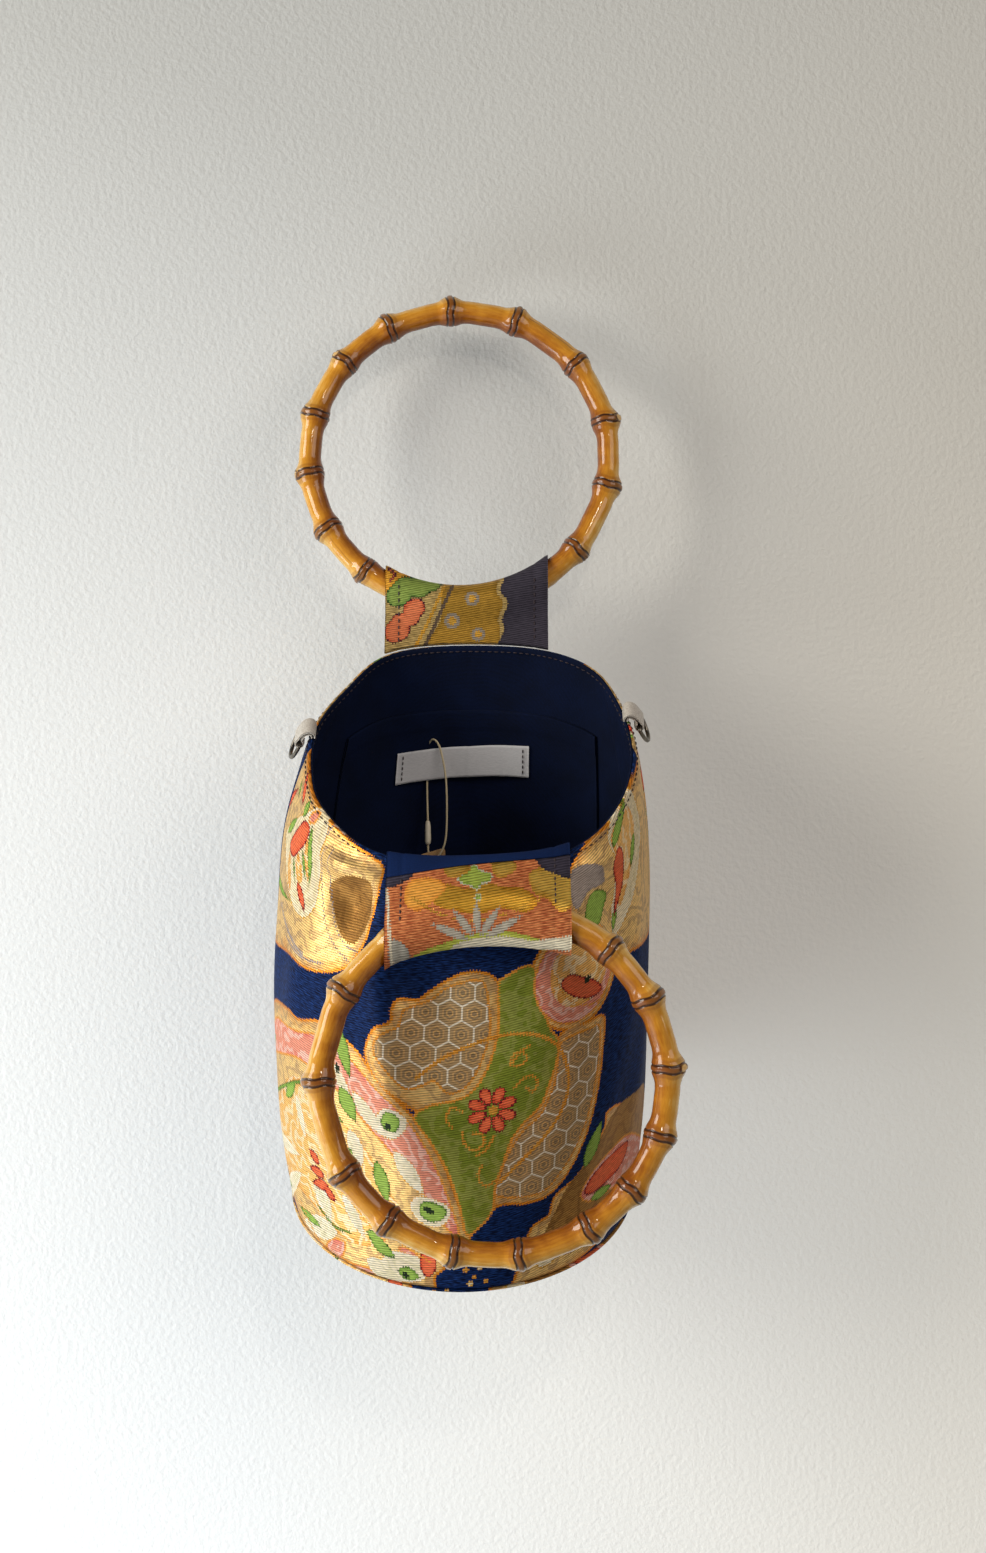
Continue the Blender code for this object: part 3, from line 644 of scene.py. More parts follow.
BODY_FIGURES = (
    # The gold patch at the upper left, with a white cloud that holds a red spray
    Figure(Layer.CLOUD, Shape.BLOB, ((292, 700), (283, 760), (276, 850), (279, 925), (290, 955), (306, 969),
        (328, 973), (348, 968), (358, 955), (366, 940), (374, 915), (380, 888), (382, 862), (350, 820),
        (330, 760))),
    # A dark brown patch laid in the pucker's hollow: painted shade over the real dent
    Figure(Layer.TAUPE, Shape.BLOB, ((330, 886), (344, 876), (362, 878), (372, 888), (370, 915), (360, 938),
        (348, 944), (336, 922))),
    Figure(Layer.CREAM, Shape.BLOB, ((318, 806), (330, 818), (322, 850), (320, 885), (315, 908), (304, 919),
        (293, 908), (287, 880), (286, 840), (290, 824), (306, 812))),
    Figure(Layer.CORAL, Shape.PETAL, ((288, 818), (299, 788)), 5.5),
    Figure(Layer.CORAL, Shape.PETAL, ((303, 806), (308, 770)), 4.6),
    Figure(Layer.LEAF, Shape.PETAL, ((303, 817), (311, 800)), 4.2),
    Figure(Layer.LEAF, Shape.PETAL, ((288, 832), (298, 818)), 3.8),
    Figure(Layer.LEAF, Shape.PETAL, ((299, 798), (303, 778)), 2.6),
    Figure(Layer.ROSE, Shape.PETAL, ((308, 822), (322, 812)), 4.6),
    Figure(Layer.CORAL, Shape.BLOB, ((292, 838), (298, 828), (305, 820), (310, 829), (307, 841), (301, 849),
        (293, 857), (290, 847))),
    Figure(Layer.AMBER, Shape.PETAL, ((290, 850), (290, 892)), 5.5),
    Figure(Layer.AMBER, Shape.PETAL, ((298, 850), (301, 894)), 5.5),
    Figure(Layer.AMBER, Shape.PETAL, ((308, 834), (308, 882)), 6.0),
    Figure(Layer.LEAF, Shape.PETAL, ((287, 864), (292, 902)), 3.4),
    Figure(Layer.LEAF, Shape.PETAL, ((294, 852), (295, 884)), 1.8),
    Figure(Layer.LEAF, Shape.PETAL, ((303, 848), (305, 882)), 2.2),
    Figure(Layer.LEAF, Shape.PETAL, ((313, 824), (309, 888)), 3.4),
    Figure(Layer.CORAL, Shape.PETAL, ((297, 880), (305, 913)), 4.8),
    Figure(Layer.SILVER, Shape.LINE, ((328, 845), (322, 875), (324, 915), (336, 948), (350, 962)), 0.7),
    Figure(Layer.SILVER, Shape.LINE, ((334, 850), (330, 880), (333, 918), (345, 945), (358, 952)), 0.7),
    # The tortoiseshell cloud at the left of the middle
    Figure(Layer.CLOUD, Shape.BLOB, ((364, 1056), (366, 1040), (374, 1027), (388, 1021), (390, 1008),
        (400, 998), (418, 998), (430, 990), (446, 979), (464, 972), (484, 971), (498, 980), (504, 1000),
        (502, 1050), (490, 1085), (470, 1104), (440, 1120), (415, 1112), (396, 1100), (376, 1082))),
    Figure(Layer.KIKKO, Shape.BLOB, ((372, 1050), (376, 1036), (388, 1030), (398, 1024), (402, 1010),
        (414, 1005), (430, 999), (444, 988), (462, 981), (480, 979), (488, 990), (491, 1030), (484, 1058),
        (474, 1078), (462, 1092), (446, 1094), (434, 1082), (424, 1086), (404, 1090), (384, 1072))),
    # The green ground with its scrolls
    Figure(Layer.FIELD, Shape.BLOB, ((497, 986), (500, 978), (530, 964), (540, 980), (545, 1010), (552, 1028),
        (560, 1040), (557, 1062), (550, 1085), (543, 1103), (533, 1116), (524, 1124), (513, 1140),
        (505, 1162), (497, 1186), (493, 1212), (480, 1228), (466, 1236), (458, 1205), (446, 1172),
        (428, 1142), (412, 1118), (430, 1104), (452, 1100), (470, 1092), (482, 1076), (491, 1056),
        (497, 1030))),
    # The tortoiseshell cloud at the right of the middle
    Figure(Layer.CLOUD, Shape.BLOB, ((556, 1040), (566, 1028), (584, 1022), (604, 1014), (604, 1045),
        (600, 1082), (592, 1118), (581, 1150), (565, 1178), (548, 1196), (524, 1205), (502, 1206),
        (488, 1214), (490, 1190), (498, 1164), (508, 1142), (520, 1122), (534, 1112), (542, 1098),
        (550, 1078), (552, 1058))),
    Figure(Layer.KIKKO, Shape.BLOB, ((560, 1044), (572, 1034), (588, 1028), (600, 1024), (600, 1050),
        (596, 1082), (588, 1116), (577, 1146), (562, 1172), (546, 1190), (524, 1198), (500, 1198),
        (494, 1192), (502, 1166), (512, 1146), (524, 1128), (538, 1116), (547, 1100), (554, 1080),
        (556, 1060))),
    Figure(Layer.SCROLL, Shape.LINE, ((416, 1078), (440, 1060), (468, 1046), (500, 1036), (532, 1034),
        (556, 1044), (567, 1064), (568, 1088), (560, 1114), (544, 1138), (522, 1160), (500, 1182)), 1.5),
    # The round rose medallion under the tab's right end
    Figure(Layer.CLOUD, Shape.DISC, ((577, 974),), 23.0),
    Figure(Layer.ROSE, Shape.DISC, ((577, 974),), 20.5),
    Figure(Layer.AMBER, Shape.DISC, ((580, 970),), 15.0),
    Figure(Layer.CORAL, Shape.BLOB, ((560, 985), (572, 996), (590, 998), (602, 988), (596, 980), (584, 976),
        (570, 974))),
    Figure(Layer.FIELD, Shape.PETAL, ((586, 990), (600, 970)), 4.5),
    Figure(Layer.SCROLL, Shape.LINE, ((556, 975), (562, 992), (578, 1004), (596, 1002), (606, 988)), 0.8),
    Figure(Layer.DARK, Shape.PETAL, ((584, 984), (591, 974)), 3.0),
    # The gold patch at the upper right, with a tall white-edged cloud
    Figure(Layer.CLOUD, Shape.BLOB, ((585, 840), (600, 810), (616, 775), (632, 735), (650, 760), (656, 850),
        (650, 925), (634, 950), (612, 962), (590, 950), (572, 930), (566, 880))),
    Figure(Layer.SILVER, Shape.BLOB, ((572, 870), (586, 864), (602, 866), (604, 882), (588, 892), (578, 910),
        (570, 892))),
    Figure(Layer.CREAM, Shape.BLOB, ((623, 786), (634, 796), (640, 826), (639, 862), (632, 900), (620, 930),
        (612, 936), (611, 915), (614, 880), (609, 846), (607, 818), (612, 798))),
    Figure(Layer.AMBER, Shape.BLOB, ((626, 806), (633, 820), (633, 856), (627, 884), (619, 906), (616, 876),
        (613, 848), (614, 826))),
    Figure(Layer.LEAF, Shape.PETAL, ((613, 848), (620, 796)), 6.0),
    Figure(Layer.LEAF, Shape.PETAL, ((634, 832), (630, 868)), 4.5),
    Figure(Layer.LEAF, Shape.PETAL, ((616, 908), (613, 932)), 3.5),
    Figure(Layer.LEAF, Shape.BLOB, ((586, 922), (588, 900), (596, 890), (606, 892), (604, 905), (598, 925))),
    Figure(Layer.CORAL, Shape.BLOB, ((619, 846), (624, 858), (623, 878), (618, 904), (614, 916), (615, 884),
        (614, 862))),
    Figure(Layer.CORAL, Shape.PETAL, ((644, 800), (648, 870)), 4.5),
    Figure(Layer.LEAF, Shape.PETAL, ((645, 808), (646, 838)), 3.0),
    # The patch at the lower right, with a long leaf and a red lens
    Figure(Layer.CLOUD, Shape.BLOB, ((650, 1062), (634, 1082), (616, 1104), (604, 1128), (592, 1152),
        (576, 1176), (560, 1190), (552, 1200), (548, 1214), (530, 1228), (520, 1262), (514, 1292),
        (560, 1275), (610, 1225), (640, 1160), (650, 1100))),
    Figure(Layer.TAUPE, Shape.BLOB, ((644, 1084), (630, 1096), (612, 1116), (600, 1140), (582, 1168),
        (566, 1188), (556, 1210), (545, 1235), (560, 1252), (595, 1230), (625, 1180), (642, 1130))),
    Figure(Layer.LEAF, Shape.PETAL, ((584, 1168), (602, 1120)), 8.0),
    Figure(Layer.ROSE, Shape.BLOB, ((580, 1196), (592, 1172), (612, 1148), (632, 1132), (636, 1146),
        (628, 1170), (610, 1190), (590, 1202))),
    Figure(Layer.CORAL, Shape.BLOB, ((584, 1192), (594, 1174), (612, 1153), (628, 1140), (624, 1160),
        (608, 1180), (592, 1194))),
    Figure(Layer.LEAF, Shape.PETAL, ((590, 1200), (612, 1184)), 4.5),
    Figure(Layer.CREAM, Shape.BLOB, ((536, 1250), (552, 1240), (560, 1250), (552, 1262), (538, 1268))),
    Figure(Layer.CORAL, Shape.PETAL, ((560, 1254), (584, 1238)), 5.0),
    # The rose band that crosses the lower left, with feathered leaves
    Figure(Layer.CLOUD, Shape.BLOB, ((272, 1004), (286, 1006), (298, 1018), (318, 1020), (334, 1030),
        (350, 1042), (362, 1056), (378, 1080), (402, 1104), (426, 1132), (446, 1166), (460, 1204),
        (472, 1230), (466, 1246), (448, 1240), (444, 1256), (446, 1268), (436, 1278), (432, 1296),
        (380, 1290), (310, 1240), (272, 1160), (262, 1080))),
    Figure(Layer.ROSE, Shape.BLOB, ((276, 1016), (296, 1030), (318, 1034), (338, 1046), (356, 1064),
        (376, 1088), (398, 1110), (420, 1138), (438, 1170), (452, 1206), (460, 1236), (448, 1232),
        (434, 1212), (414, 1184), (392, 1156), (368, 1128), (346, 1102), (322, 1078), (296, 1058),
        (278, 1046))),
    Figure(Layer.PEARL, Shape.PETAL, ((322, 1052), (352, 1098)), 7.0),
    Figure(Layer.PEARL, Shape.PETAL, ((352, 1090), (386, 1140)), 7.0),
    Figure(Layer.PEARL, Shape.BLOB, ((384, 1108), (396, 1112), (408, 1120), (404, 1132), (392, 1140),
        (380, 1132), (376, 1118))),
    Figure(Layer.PEARL, Shape.PETAL, ((394, 1150), (424, 1196)), 8.0),
    Figure(Layer.PEARL, Shape.BLOB, ((418, 1196), (436, 1200), (450, 1208), (448, 1222), (434, 1228),
        (418, 1220), (410, 1206))),
    Figure(Layer.LEAF, Shape.BLOB, ((385, 1112), (394, 1114), (400, 1122), (396, 1132), (386, 1130),
        (381, 1122))),
    Figure(Layer.DARK, Shape.DISC, ((388, 1126),), 1.6),
    Figure(Layer.LEAF, Shape.BLOB, ((422, 1202), (436, 1204), (446, 1210), (442, 1220), (430, 1222),
        (420, 1214))),
    Figure(Layer.DARK, Shape.PETAL, ((422, 1208), (436, 1214)), 2.6),
    Figure(Layer.LEAF, Shape.PETAL, ((340, 1086), (356, 1122)), 8.0),
    Figure(Layer.LEAF, Shape.PETAL, ((336, 1022), (350, 1078)), 6.5),
    Figure(Layer.LEAF, Shape.PETAL, ((276, 1034), (288, 1068)), 6.0),
    Figure(Layer.DARK, Shape.PETAL, ((336, 1062), (338, 1074)), 2.2),
    Figure(Layer.LEAF, Shape.PETAL, ((376, 1160), (388, 1204)), 7.0),
    # The gold and cream ground of the lower left, with pale petals and a small coral flower
    Figure(Layer.AMBER, Shape.BLOB, ((284, 1084), (300, 1078), (322, 1098), (346, 1126), (368, 1152),
        (386, 1186), (402, 1214), (392, 1236), (362, 1246), (330, 1226), (302, 1190), (286, 1140))),
    Figure(Layer.PEARL, Shape.PETAL, ((296, 1092), (306, 1140)), 7.0),
    Figure(Layer.PEARL, Shape.PETAL, ((286, 1124), (302, 1156)), 7.0),
    Figure(Layer.PEARL, Shape.PETAL, ((350, 1128), (362, 1168)), 8.0),
    Figure(Layer.PEARL, Shape.PETAL, ((302, 1172), (286, 1196)), 8.0),
    Figure(Layer.PEARL, Shape.PETAL, ((322, 1190), (332, 1230)), 6.0),
    Figure(Layer.PEARL, Shape.PETAL, ((342, 1192), (366, 1240)), 6.5),
    Figure(Layer.LEAF, Shape.PETAL, ((286, 1096), (296, 1082)), 5.0),
    Figure(Layer.LEAF, Shape.PETAL, ((366, 1230), (386, 1246)), 5.0),
    Figure(Layer.LEAF, Shape.PETAL, ((300, 1206), (322, 1228)), 4.0),
    Figure(Layer.CORAL, Shape.PETAL, ((320, 1164), (309, 1148)), 5.4),
    Figure(Layer.CORAL, Shape.PETAL, ((325, 1176), (309, 1166)), 5.0),
    Figure(Layer.CORAL, Shape.PETAL, ((329, 1186), (312, 1182)), 5.0),
    Figure(Layer.CORAL, Shape.PETAL, ((324, 1186), (337, 1202)), 4.8),
    Figure(Layer.ROSE, Shape.BLOB, ((290, 1200), (304, 1226), (326, 1246), (350, 1262), (380, 1268),
        (392, 1262), (396, 1280), (360, 1282), (318, 1258), (290, 1222))),
    Figure(Layer.PEARL, Shape.BLOB, ((386, 1250), (410, 1254), (430, 1264), (424, 1280), (400, 1282),
        (384, 1268))),
    Figure(Layer.LEAF, Shape.PETAL, ((398, 1270), (420, 1278)), 6.0),
    Figure(Layer.DARK, Shape.PETAL, ((402, 1272), (410, 1278)), 2.6),
    Figure(Layer.CORAL, Shape.BLOB, ((422, 1250), (434, 1254), (436, 1268), (428, 1278), (420, 1268))),
    # The daisy and the scrolls on the green ground
    Figure(Layer.CORAL, Shape.DAISY, ((492, 1110),), 10.2),
    Figure(Layer.SCROLL, Shape.DISC, ((493, 1110),), 1.9),
    Figure(Layer.SCROLL, Shape.LINE, ((520, 1052), (512, 1064), (520, 1066), (528, 1058), (522, 1050),
        (530, 1046)), 0.9),
    Figure(Layer.SCROLL, Shape.LINE, ((514, 1088), (524, 1078), (534, 1076), (538, 1084), (532, 1092),
        (526, 1088)), 1.0),
    Figure(Layer.SCROLL, Shape.LINE, ((510, 1064), (514, 1054), (524, 1050)), 0.9),
    Figure(Layer.SCROLL, Shape.LINE, ((462, 1132), (464, 1144), (474, 1150), (484, 1144), (482, 1134),
        (472, 1134)), 1.1),
    Figure(Layer.SCROLL, Shape.LINE, ((494, 1136), (486, 1150), (476, 1156)), 1.0),
    Figure(Layer.SCROLL, Shape.LINE, ((482, 1166), (478, 1178), (486, 1186), (496, 1180)), 1.0),
    Figure(Layer.SCROLL, Shape.LINE, ((452, 1128), (446, 1118), (452, 1108), (462, 1112)), 1.0),
    # Flecks of gold leaf on the dark ground at the bottom
    Figure(Layer.SCROLL, Shape.DISC, ((466, 1270),), 1.3),
    Figure(Layer.SCROLL, Shape.DISC, ((474, 1277),), 1.0),
    Figure(Layer.CREAM, Shape.DISC, ((480, 1268),), 1.2),
    Figure(Layer.CREAM, Shape.DISC, ((470, 1284),), 1.4),
    Figure(Layer.SCROLL, Shape.DISC, ((486, 1281),), 1.1),
)

LOWER_LEFT_FIGURES = (
    Figure(Layer.PEARL, Shape.PETAL, ((332, 1216), (312, 1178)), 11.0),
    Figure(Layer.PEARL, Shape.PETAL, ((338, 1232), (304, 1220)), 10.0),
    Figure(Layer.ROSE, Shape.PETAL, ((346, 1242), (318, 1262)), 9.0),
    Figure(Layer.AMBER, Shape.PETAL, ((345, 1212), (374, 1246)), 10.0),
    Figure(Layer.PEARL, Shape.PETAL, ((366, 1258), (402, 1284)), 10.0),
    Figure(Layer.LEAF, Shape.PETAL, ((370, 1236), (396, 1258)), 6.0),
    Figure(Layer.ROSE, Shape.PETAL, ((398, 1246), (428, 1276)), 8.0),
    Figure(Layer.LEAF, Shape.PETAL, ((300, 1158), (293, 1188)), 5.0),
    Figure(Layer.CORAL, Shape.PETAL, ((330, 1260), (352, 1278)), 5.0),
    Figure(Layer.LEAF, Shape.LINE, ((282, 1094), (300, 1082), (322, 1098), (342, 1122)), 1.5),
    Figure(Layer.LEAF, Shape.LINE, ((350, 1150), (366, 1190), (372, 1214)), 1.8),
    Figure(Layer.LEAF, Shape.LINE, ((318, 1206), (334, 1226), (350, 1232)), 1.3),
    Figure(Layer.SILVER, Shape.LINE, ((282, 902), (288, 930), (302, 954)), 1.5),
    Figure(Layer.SILVER, Shape.LINE, ((286, 936), (300, 956), (322, 964)), 1.0),
    Figure(Layer.SILVER, Shape.LINE, ((326, 836), (336, 824), (344, 834)), 0.8),
    Figure(Layer.SCROLL, Shape.LINE, ((300, 1200), (318, 1238), (352, 1266), (396, 1296)), 0.9),
    Figure(Layer.SCROLL, Shape.LINE, ((350, 1190), (366, 1222), (396, 1240), (430, 1262)), 0.9),
)

FRONT_TAB_FIGURES = (
    Figure(Layer.DARK, Shape.BLOB, ((374, 862), (400, 866), (412, 876), (400, 886), (384, 890), (372, 880))),
    Figure(Layer.DARK, Shape.BLOB, ((536, 850), (560, 846), (578, 858), (572, 880), (556, 876), (540, 868))),
    Figure(Layer.CLOUD, Shape.DISC, ((392, 876),), 1.7),
    Figure(Layer.SCROLL, Shape.BLOB, ((530, 876), (546, 868), (566, 870), (575, 884), (573, 906), (560, 912),
        (548, 900), (534, 894))),
    Figure(Layer.CLOUD, Shape.BLOB, ((430, 894), (446, 886), (466, 890), (482, 884), (504, 888), (524, 890),
        (538, 902), (526, 912), (500, 908), (478, 914), (452, 910), (436, 906))),
    Figure(Layer.AMBER, Shape.BLOB, ((408, 884), (430, 880), (446, 888), (436, 900), (418, 912), (404, 904))),
    Figure(Layer.LEAF, Shape.BLOB, ((474, 866), (480, 872), (492, 876), (490, 884), (482, 886), (478, 892),
        (470, 888), (462, 886), (456, 880), (464, 874))),
    Figure(Layer.LEAF, Shape.DISC, ((478, 898),), 1.5),
    Figure(Layer.SCROLL, Shape.BLOB, ((444, 868), (462, 864), (470, 872), (456, 880), (446, 878))),
    Figure(Layer.SCROLL, Shape.BLOB, ((492, 864), (512, 862), (516, 872), (502, 880), (494, 876))),
    Figure(Layer.SCROLL, Shape.LINE, ((412, 900), (440, 914), (478, 920), (516, 910), (540, 900)), 1.2),
    Figure(Layer.SILVER, Shape.PETAL, ((478, 934), (476, 900)), 3.0),
    Figure(Layer.SILVER, Shape.PETAL, ((480, 936), (500, 906)), 3.2),
    Figure(Layer.SILVER, Shape.PETAL, ((474, 936), (452, 908)), 3.2),
    Figure(Layer.SILVER, Shape.PETAL, ((484, 938), (524, 914)), 3.4),
    Figure(Layer.SILVER, Shape.PETAL, ((470, 940), (428, 922)), 3.4),
    Figure(Layer.FIELD, Shape.BLOB, ((396, 968), (420, 952), (446, 942), (470, 934), (500, 930), (530, 936),
        (550, 944), (540, 952), (500, 948), (466, 948), (430, 958), (404, 976))),
    # A pale band along the underside of the fold: painted highlight where the light catches it
    Figure(Layer.CREAM, Shape.BLOB, ((452, 946), (476, 938), (506, 936), (532, 940), (552, 938), (576, 936),
        (576, 950), (540, 950), (500, 956), (460, 956))),
    Figure(Layer.TAUPE, Shape.BLOB, ((390, 940), (406, 946), (410, 962), (400, 974), (390, 968))),
    Figure(Layer.CREAM, Shape.LINE, ((383, 876), (388, 920), (392, 966)), 1.2),
)

REAR_TAB_FIGURES = (
    Figure(Layer.AMBER, Shape.BLOB, ((386, 564), (408, 562), (430, 572), (432, 584), (412, 590), (398, 598),
        (386, 596))),
    Figure(Layer.CORAL, Shape.LINE, ((388, 568), (394, 574), (390, 580)), 1.5),
    Figure(Layer.LEAF, Shape.SCALLOPS, ((386, 600), (392, 584), (410, 576), (430, 576), (442, 582),
        (430, 592), (412, 596), (400, 606)), 0.18),
    Figure(Layer.CORAL, Shape.SCALLOPS, ((386, 640), (390, 620), (402, 612), (412, 598), (424, 602),
        (420, 616), (410, 626), (400, 642)), 0.2),
    Figure(Layer.CLOUD, Shape.BLOB, ((443, 586), (462, 578), (480, 570), (498, 564), (500, 578), (496, 590),
        (503, 602), (498, 618), (500, 630), (492, 648), (428, 648), (440, 620))),
    Figure(Layer.TAUPE, Shape.LINE, ((452, 586), (440, 612), (424, 648)), 1.6),
    Figure(Layer.SCROLL, Shape.LINE, ((444, 586), (432, 612), (415, 648)), 1.4),
    Figure(Layer.SILVER, Shape.DISC, ((452, 620),), 3.6),
    Figure(Layer.SCROLL, Shape.DISC, ((452, 620),), 1.9),
    Figure(Layer.SILVER, Shape.DISC, ((472, 598),), 3.2),
    Figure(Layer.SCROLL, Shape.DISC, ((472, 598),), 1.7),
    Figure(Layer.SILVER, Shape.DISC, ((478, 634),), 3.2),
    Figure(Layer.SCROLL, Shape.DISC, ((478, 634),), 1.7),
    Figure(Layer.DARK, Shape.BLOB, ((505, 562), (525, 556), (556, 552), (556, 656), (498, 656), (504, 630),
        (502, 618), (508, 602), (500, 590), (504, 578))),
)


@dataclass(frozen=True)
class Yarn:
    """How one yarn of the figured cloth looks."""

    edge: str
    middle: str
    outline: str = ""
    outline_mm: float = 0.0
    depth_mm: float = 3.0
    metal: float = 0.0
    raised: float = 0.5
    band: str = ""
    band_mm: float = 7.0
    band_share: float = 0.7


@dataclass(frozen=True)
class Brocade:
    """Woven brocade: a satin ground with figures of coloured and gilt yarn floated over it.

    Its ribs run across the cloth, one weft to each rib, and every figure's edge steps from yarn to yarn.
    """

    name: str
    ground: tuple[str, str]
    yarns: dict[Layer, Yarn]
    rib_mm: float = 1.0
    tooth_mm: float = 1.3
    hexagon_mm: float = 9.8
    hexagon_bands: tuple[tuple[float, str], ...] = (
        (0.00, "#5A3E20"),
        (0.09, "#C08C44"),
        (0.15, "#6C5030"),
        (0.24, "#B88848"),
        (0.31, "#8E6C40"),
        (0.462, "#E4DCCC"),
    )

    def build(self) -> bpy.types.Material:
        """Make the material."""
        material, tree, output = empty_material(self.name)
        cloth = add_node(tree, "ShaderNodeAttribute", {"attribute_name": "cloth"}).outputs["Vector"]
        parts = add_node(tree, "ShaderNodeSeparateXYZ", inputs={0: cloth}).outputs
        across, down = parts["X"], parts["Y"]
        teeth = None
        for side in (across, down):
            tooth = add_node(
                tree, "ShaderNodeMath", {"operation": "PINGPONG"}, {0: side, 1: self.tooth_mm / 2}
            ).outputs[0]
            teeth = tooth if teeth is None else add_node(tree, "ShaderNodeMath", {}, {0: teeth, 1: tooth}).outputs[0]
        teeth = add_node(
            tree, "ShaderNodeMath", {"operation": "MULTIPLY_ADD"}, {0: teeth, 1: 0.85, 2: -0.42 * self.tooth_mm}
        ).outputs[0]
        flecks = add_node(
            tree,
            "ShaderNodeTexNoise",
            inputs={
                "Vector": add_node(
                    tree, "ShaderNodeVectorMath", {"operation": "MULTIPLY"}, {0: cloth, 1: (0.32, 2.0, 1.0)}
                ).outputs[0],
                "Scale": 1.0,
                "Detail": 2.0,
            },
        ).outputs["Fac"]
        fleck = add_node(
            tree, "ShaderNodeMapRange", {}, {0: flecks, 1: 0.38, 2: 0.62}
        ).outputs[0]
        drift = add_node(
            tree, "ShaderNodeTexNoise", inputs={"Vector": cloth, "Scale": 0.11, "Detail": 2.0}
        ).outputs["Fac"]
        colour = add_node(
            tree,
            "ShaderNodeMix",
            {"data_type": "RGBA"},
            {0: fleck, 6: linear(self.ground[0]), 7: linear(self.ground[1])},
        ).outputs[2]
        height = metal = 0.0
        for layer, yarn in self.yarns.items():
            distance = add_node(tree, "ShaderNodeAttribute", {"attribute_name": layer.value}).outputs["Fac"]
            stepped = add_node(tree, "ShaderNodeMath", {}, {0: distance, 1: teeth}).outputs[0]
            inside = add_node(
                tree,
                "ShaderNodeMath",
                {"operation": "MULTIPLY_ADD", "use_clamp": True},
                {0: stepped, 1: -6.0, 2: 0.5},
            ).outputs[0]
            deep = add_node(
                tree,
                "ShaderNodeMath",
                {"operation": "MULTIPLY_ADD"},
                {0: distance, 1: -1.0 / yarn.depth_mm, 2: -0.45},
            ).outputs[0]
            blend = add_node(
                tree, "ShaderNodeMath", {"operation": "MULTIPLY_ADD", "use_clamp": True}, {0: drift, 1: 1.3, 2: deep}
            ).outputs[0]
            blend = add_node(
                tree, "ShaderNodeMath", {"operation": "MULTIPLY_ADD", "use_clamp": True}, {0: fleck, 1: 0.3, 2: blend}
            ).outputs[0]
            fill = add_node(
                tree,
                "ShaderNodeMix",
                {"data_type": "RGBA"},
                {0: blend, 6: linear(yarn.edge), 7: linear(yarn.middle)},
            ).outputs[2]
            if layer is Layer.KIKKO:
                fill = self.hexagons(tree, cloth, fill)
            if yarn.band:
                wave = add_node(
                    tree, "ShaderNodeMath", {"operation": "MULTIPLY_ADD"}, {0: drift, 1: 3.2 * yarn.band_mm, 2: distance}
                ).outputs[0]
                wave = add_node(
                    tree, "ShaderNodeMath", {"operation": "MULTIPLY"}, {0: wave, 1: math.tau / yarn.band_mm}
                ).outputs[0]
                wave = add_node(tree, "ShaderNodeMath", {"operation": "SINE"}, {0: wave}).outputs[0]
                wave = add_node(
                    tree,
                    "ShaderNodeMapRange",
                    {"interpolation_type": "SMOOTHSTEP"},
                    {0: wave, 1: 0.25, 2: 0.65, 3: 0.0, 4: yarn.band_share},
                ).outputs[0]
                fill = add_node(
                    tree, "ShaderNodeMix", {"data_type": "RGBA"}, {0: wave, 6: fill, 7: linear(yarn.band)}
                ).outputs[2]
            if yarn.outline:
                rim = add_node(
                    tree,
                    "ShaderNodeMath",
                    {"operation": "MULTIPLY_ADD", "use_clamp": True},
                    {0: stepped, 1: 6.0, 2: 0.5 + 6.0 * yarn.outline_mm},
                ).outputs[0]
                fill = add_node(
                    tree, "ShaderNodeMix", {"data_type": "RGBA"}, {0: rim, 6: fill, 7: linear(yarn.outline)}
                ).outputs[2]
            colour = add_node(
                tree, "ShaderNodeMix", {"data_type": "RGBA"}, {0: inside, 6: colour, 7: fill}
            ).outputs[2]
            for kept, level in (("metal", yarn.metal), ("height", yarn.raised)):
                mixed = add_node(
                    tree,
                    "ShaderNodeMix",
                    {"data_type": "FLOAT"},
                    {0: inside, 2: metal if kept == "metal" else height, 3: level},
                ).outputs[0]
                metal, height = (mixed, height) if kept == "metal" else (metal, mixed)
        lean = add_node(
            tree, "ShaderNodeMath", {"operation": "MULTIPLY_ADD"}, {0: across, 1: 0.18, 2: down}
        ).outputs[0]
        rib = add_node(
            tree, "ShaderNodeMath", {"operation": "SINE"},
            {0: add_node(
                tree, "ShaderNodeMath", {"operation": "MULTIPLY"}, {0: lean, 1: math.tau / self.rib_mm}
            ).outputs[0]},
        ).outputs[0]
        shade = add_node(
            tree, "ShaderNodeMath", {"operation": "MULTIPLY_ADD"}, {0: rib, 1: 0.34, 2: 0.76}
        ).outputs[0]
        shade = add_node(
            tree, "ShaderNodeMath", {"operation": "MULTIPLY_ADD"}, {0: fleck, 1: 0.34, 2: shade}
        ).outputs[0]
        colour = add_node(
            tree, "ShaderNodeVectorMath", {"operation": "SCALE"}, {0: colour, "Scale": shade}
        ).outputs[0]
        relief = add_node(
            tree, "ShaderNodeMath", {"operation": "MULTIPLY_ADD"}, {0: rib, 1: 0.16, 2: height}
        ).outputs[0]
        bump = add_node(
            tree, "ShaderNodeBump", inputs={"Strength": 0.55, "Distance": 0.00035, "Height": relief}
        ).outputs[0]
        roughness = add_node(
            tree, "ShaderNodeMath", {"operation": "MULTIPLY_ADD"}, {0: metal, 1: -0.18, 2: 0.56}
        ).outputs[0]
        shader = add_node(
            tree,
            "ShaderNodeBsdfPrincipled",
            inputs={
                "Base Color": colour,
                "Metallic": metal,
                "Roughness": roughness,
                "Specular IOR Level": 0.05,
                "Normal": bump,
            },
        )
        tree.links.new(shader.outputs[0], output.inputs[0])
        return material

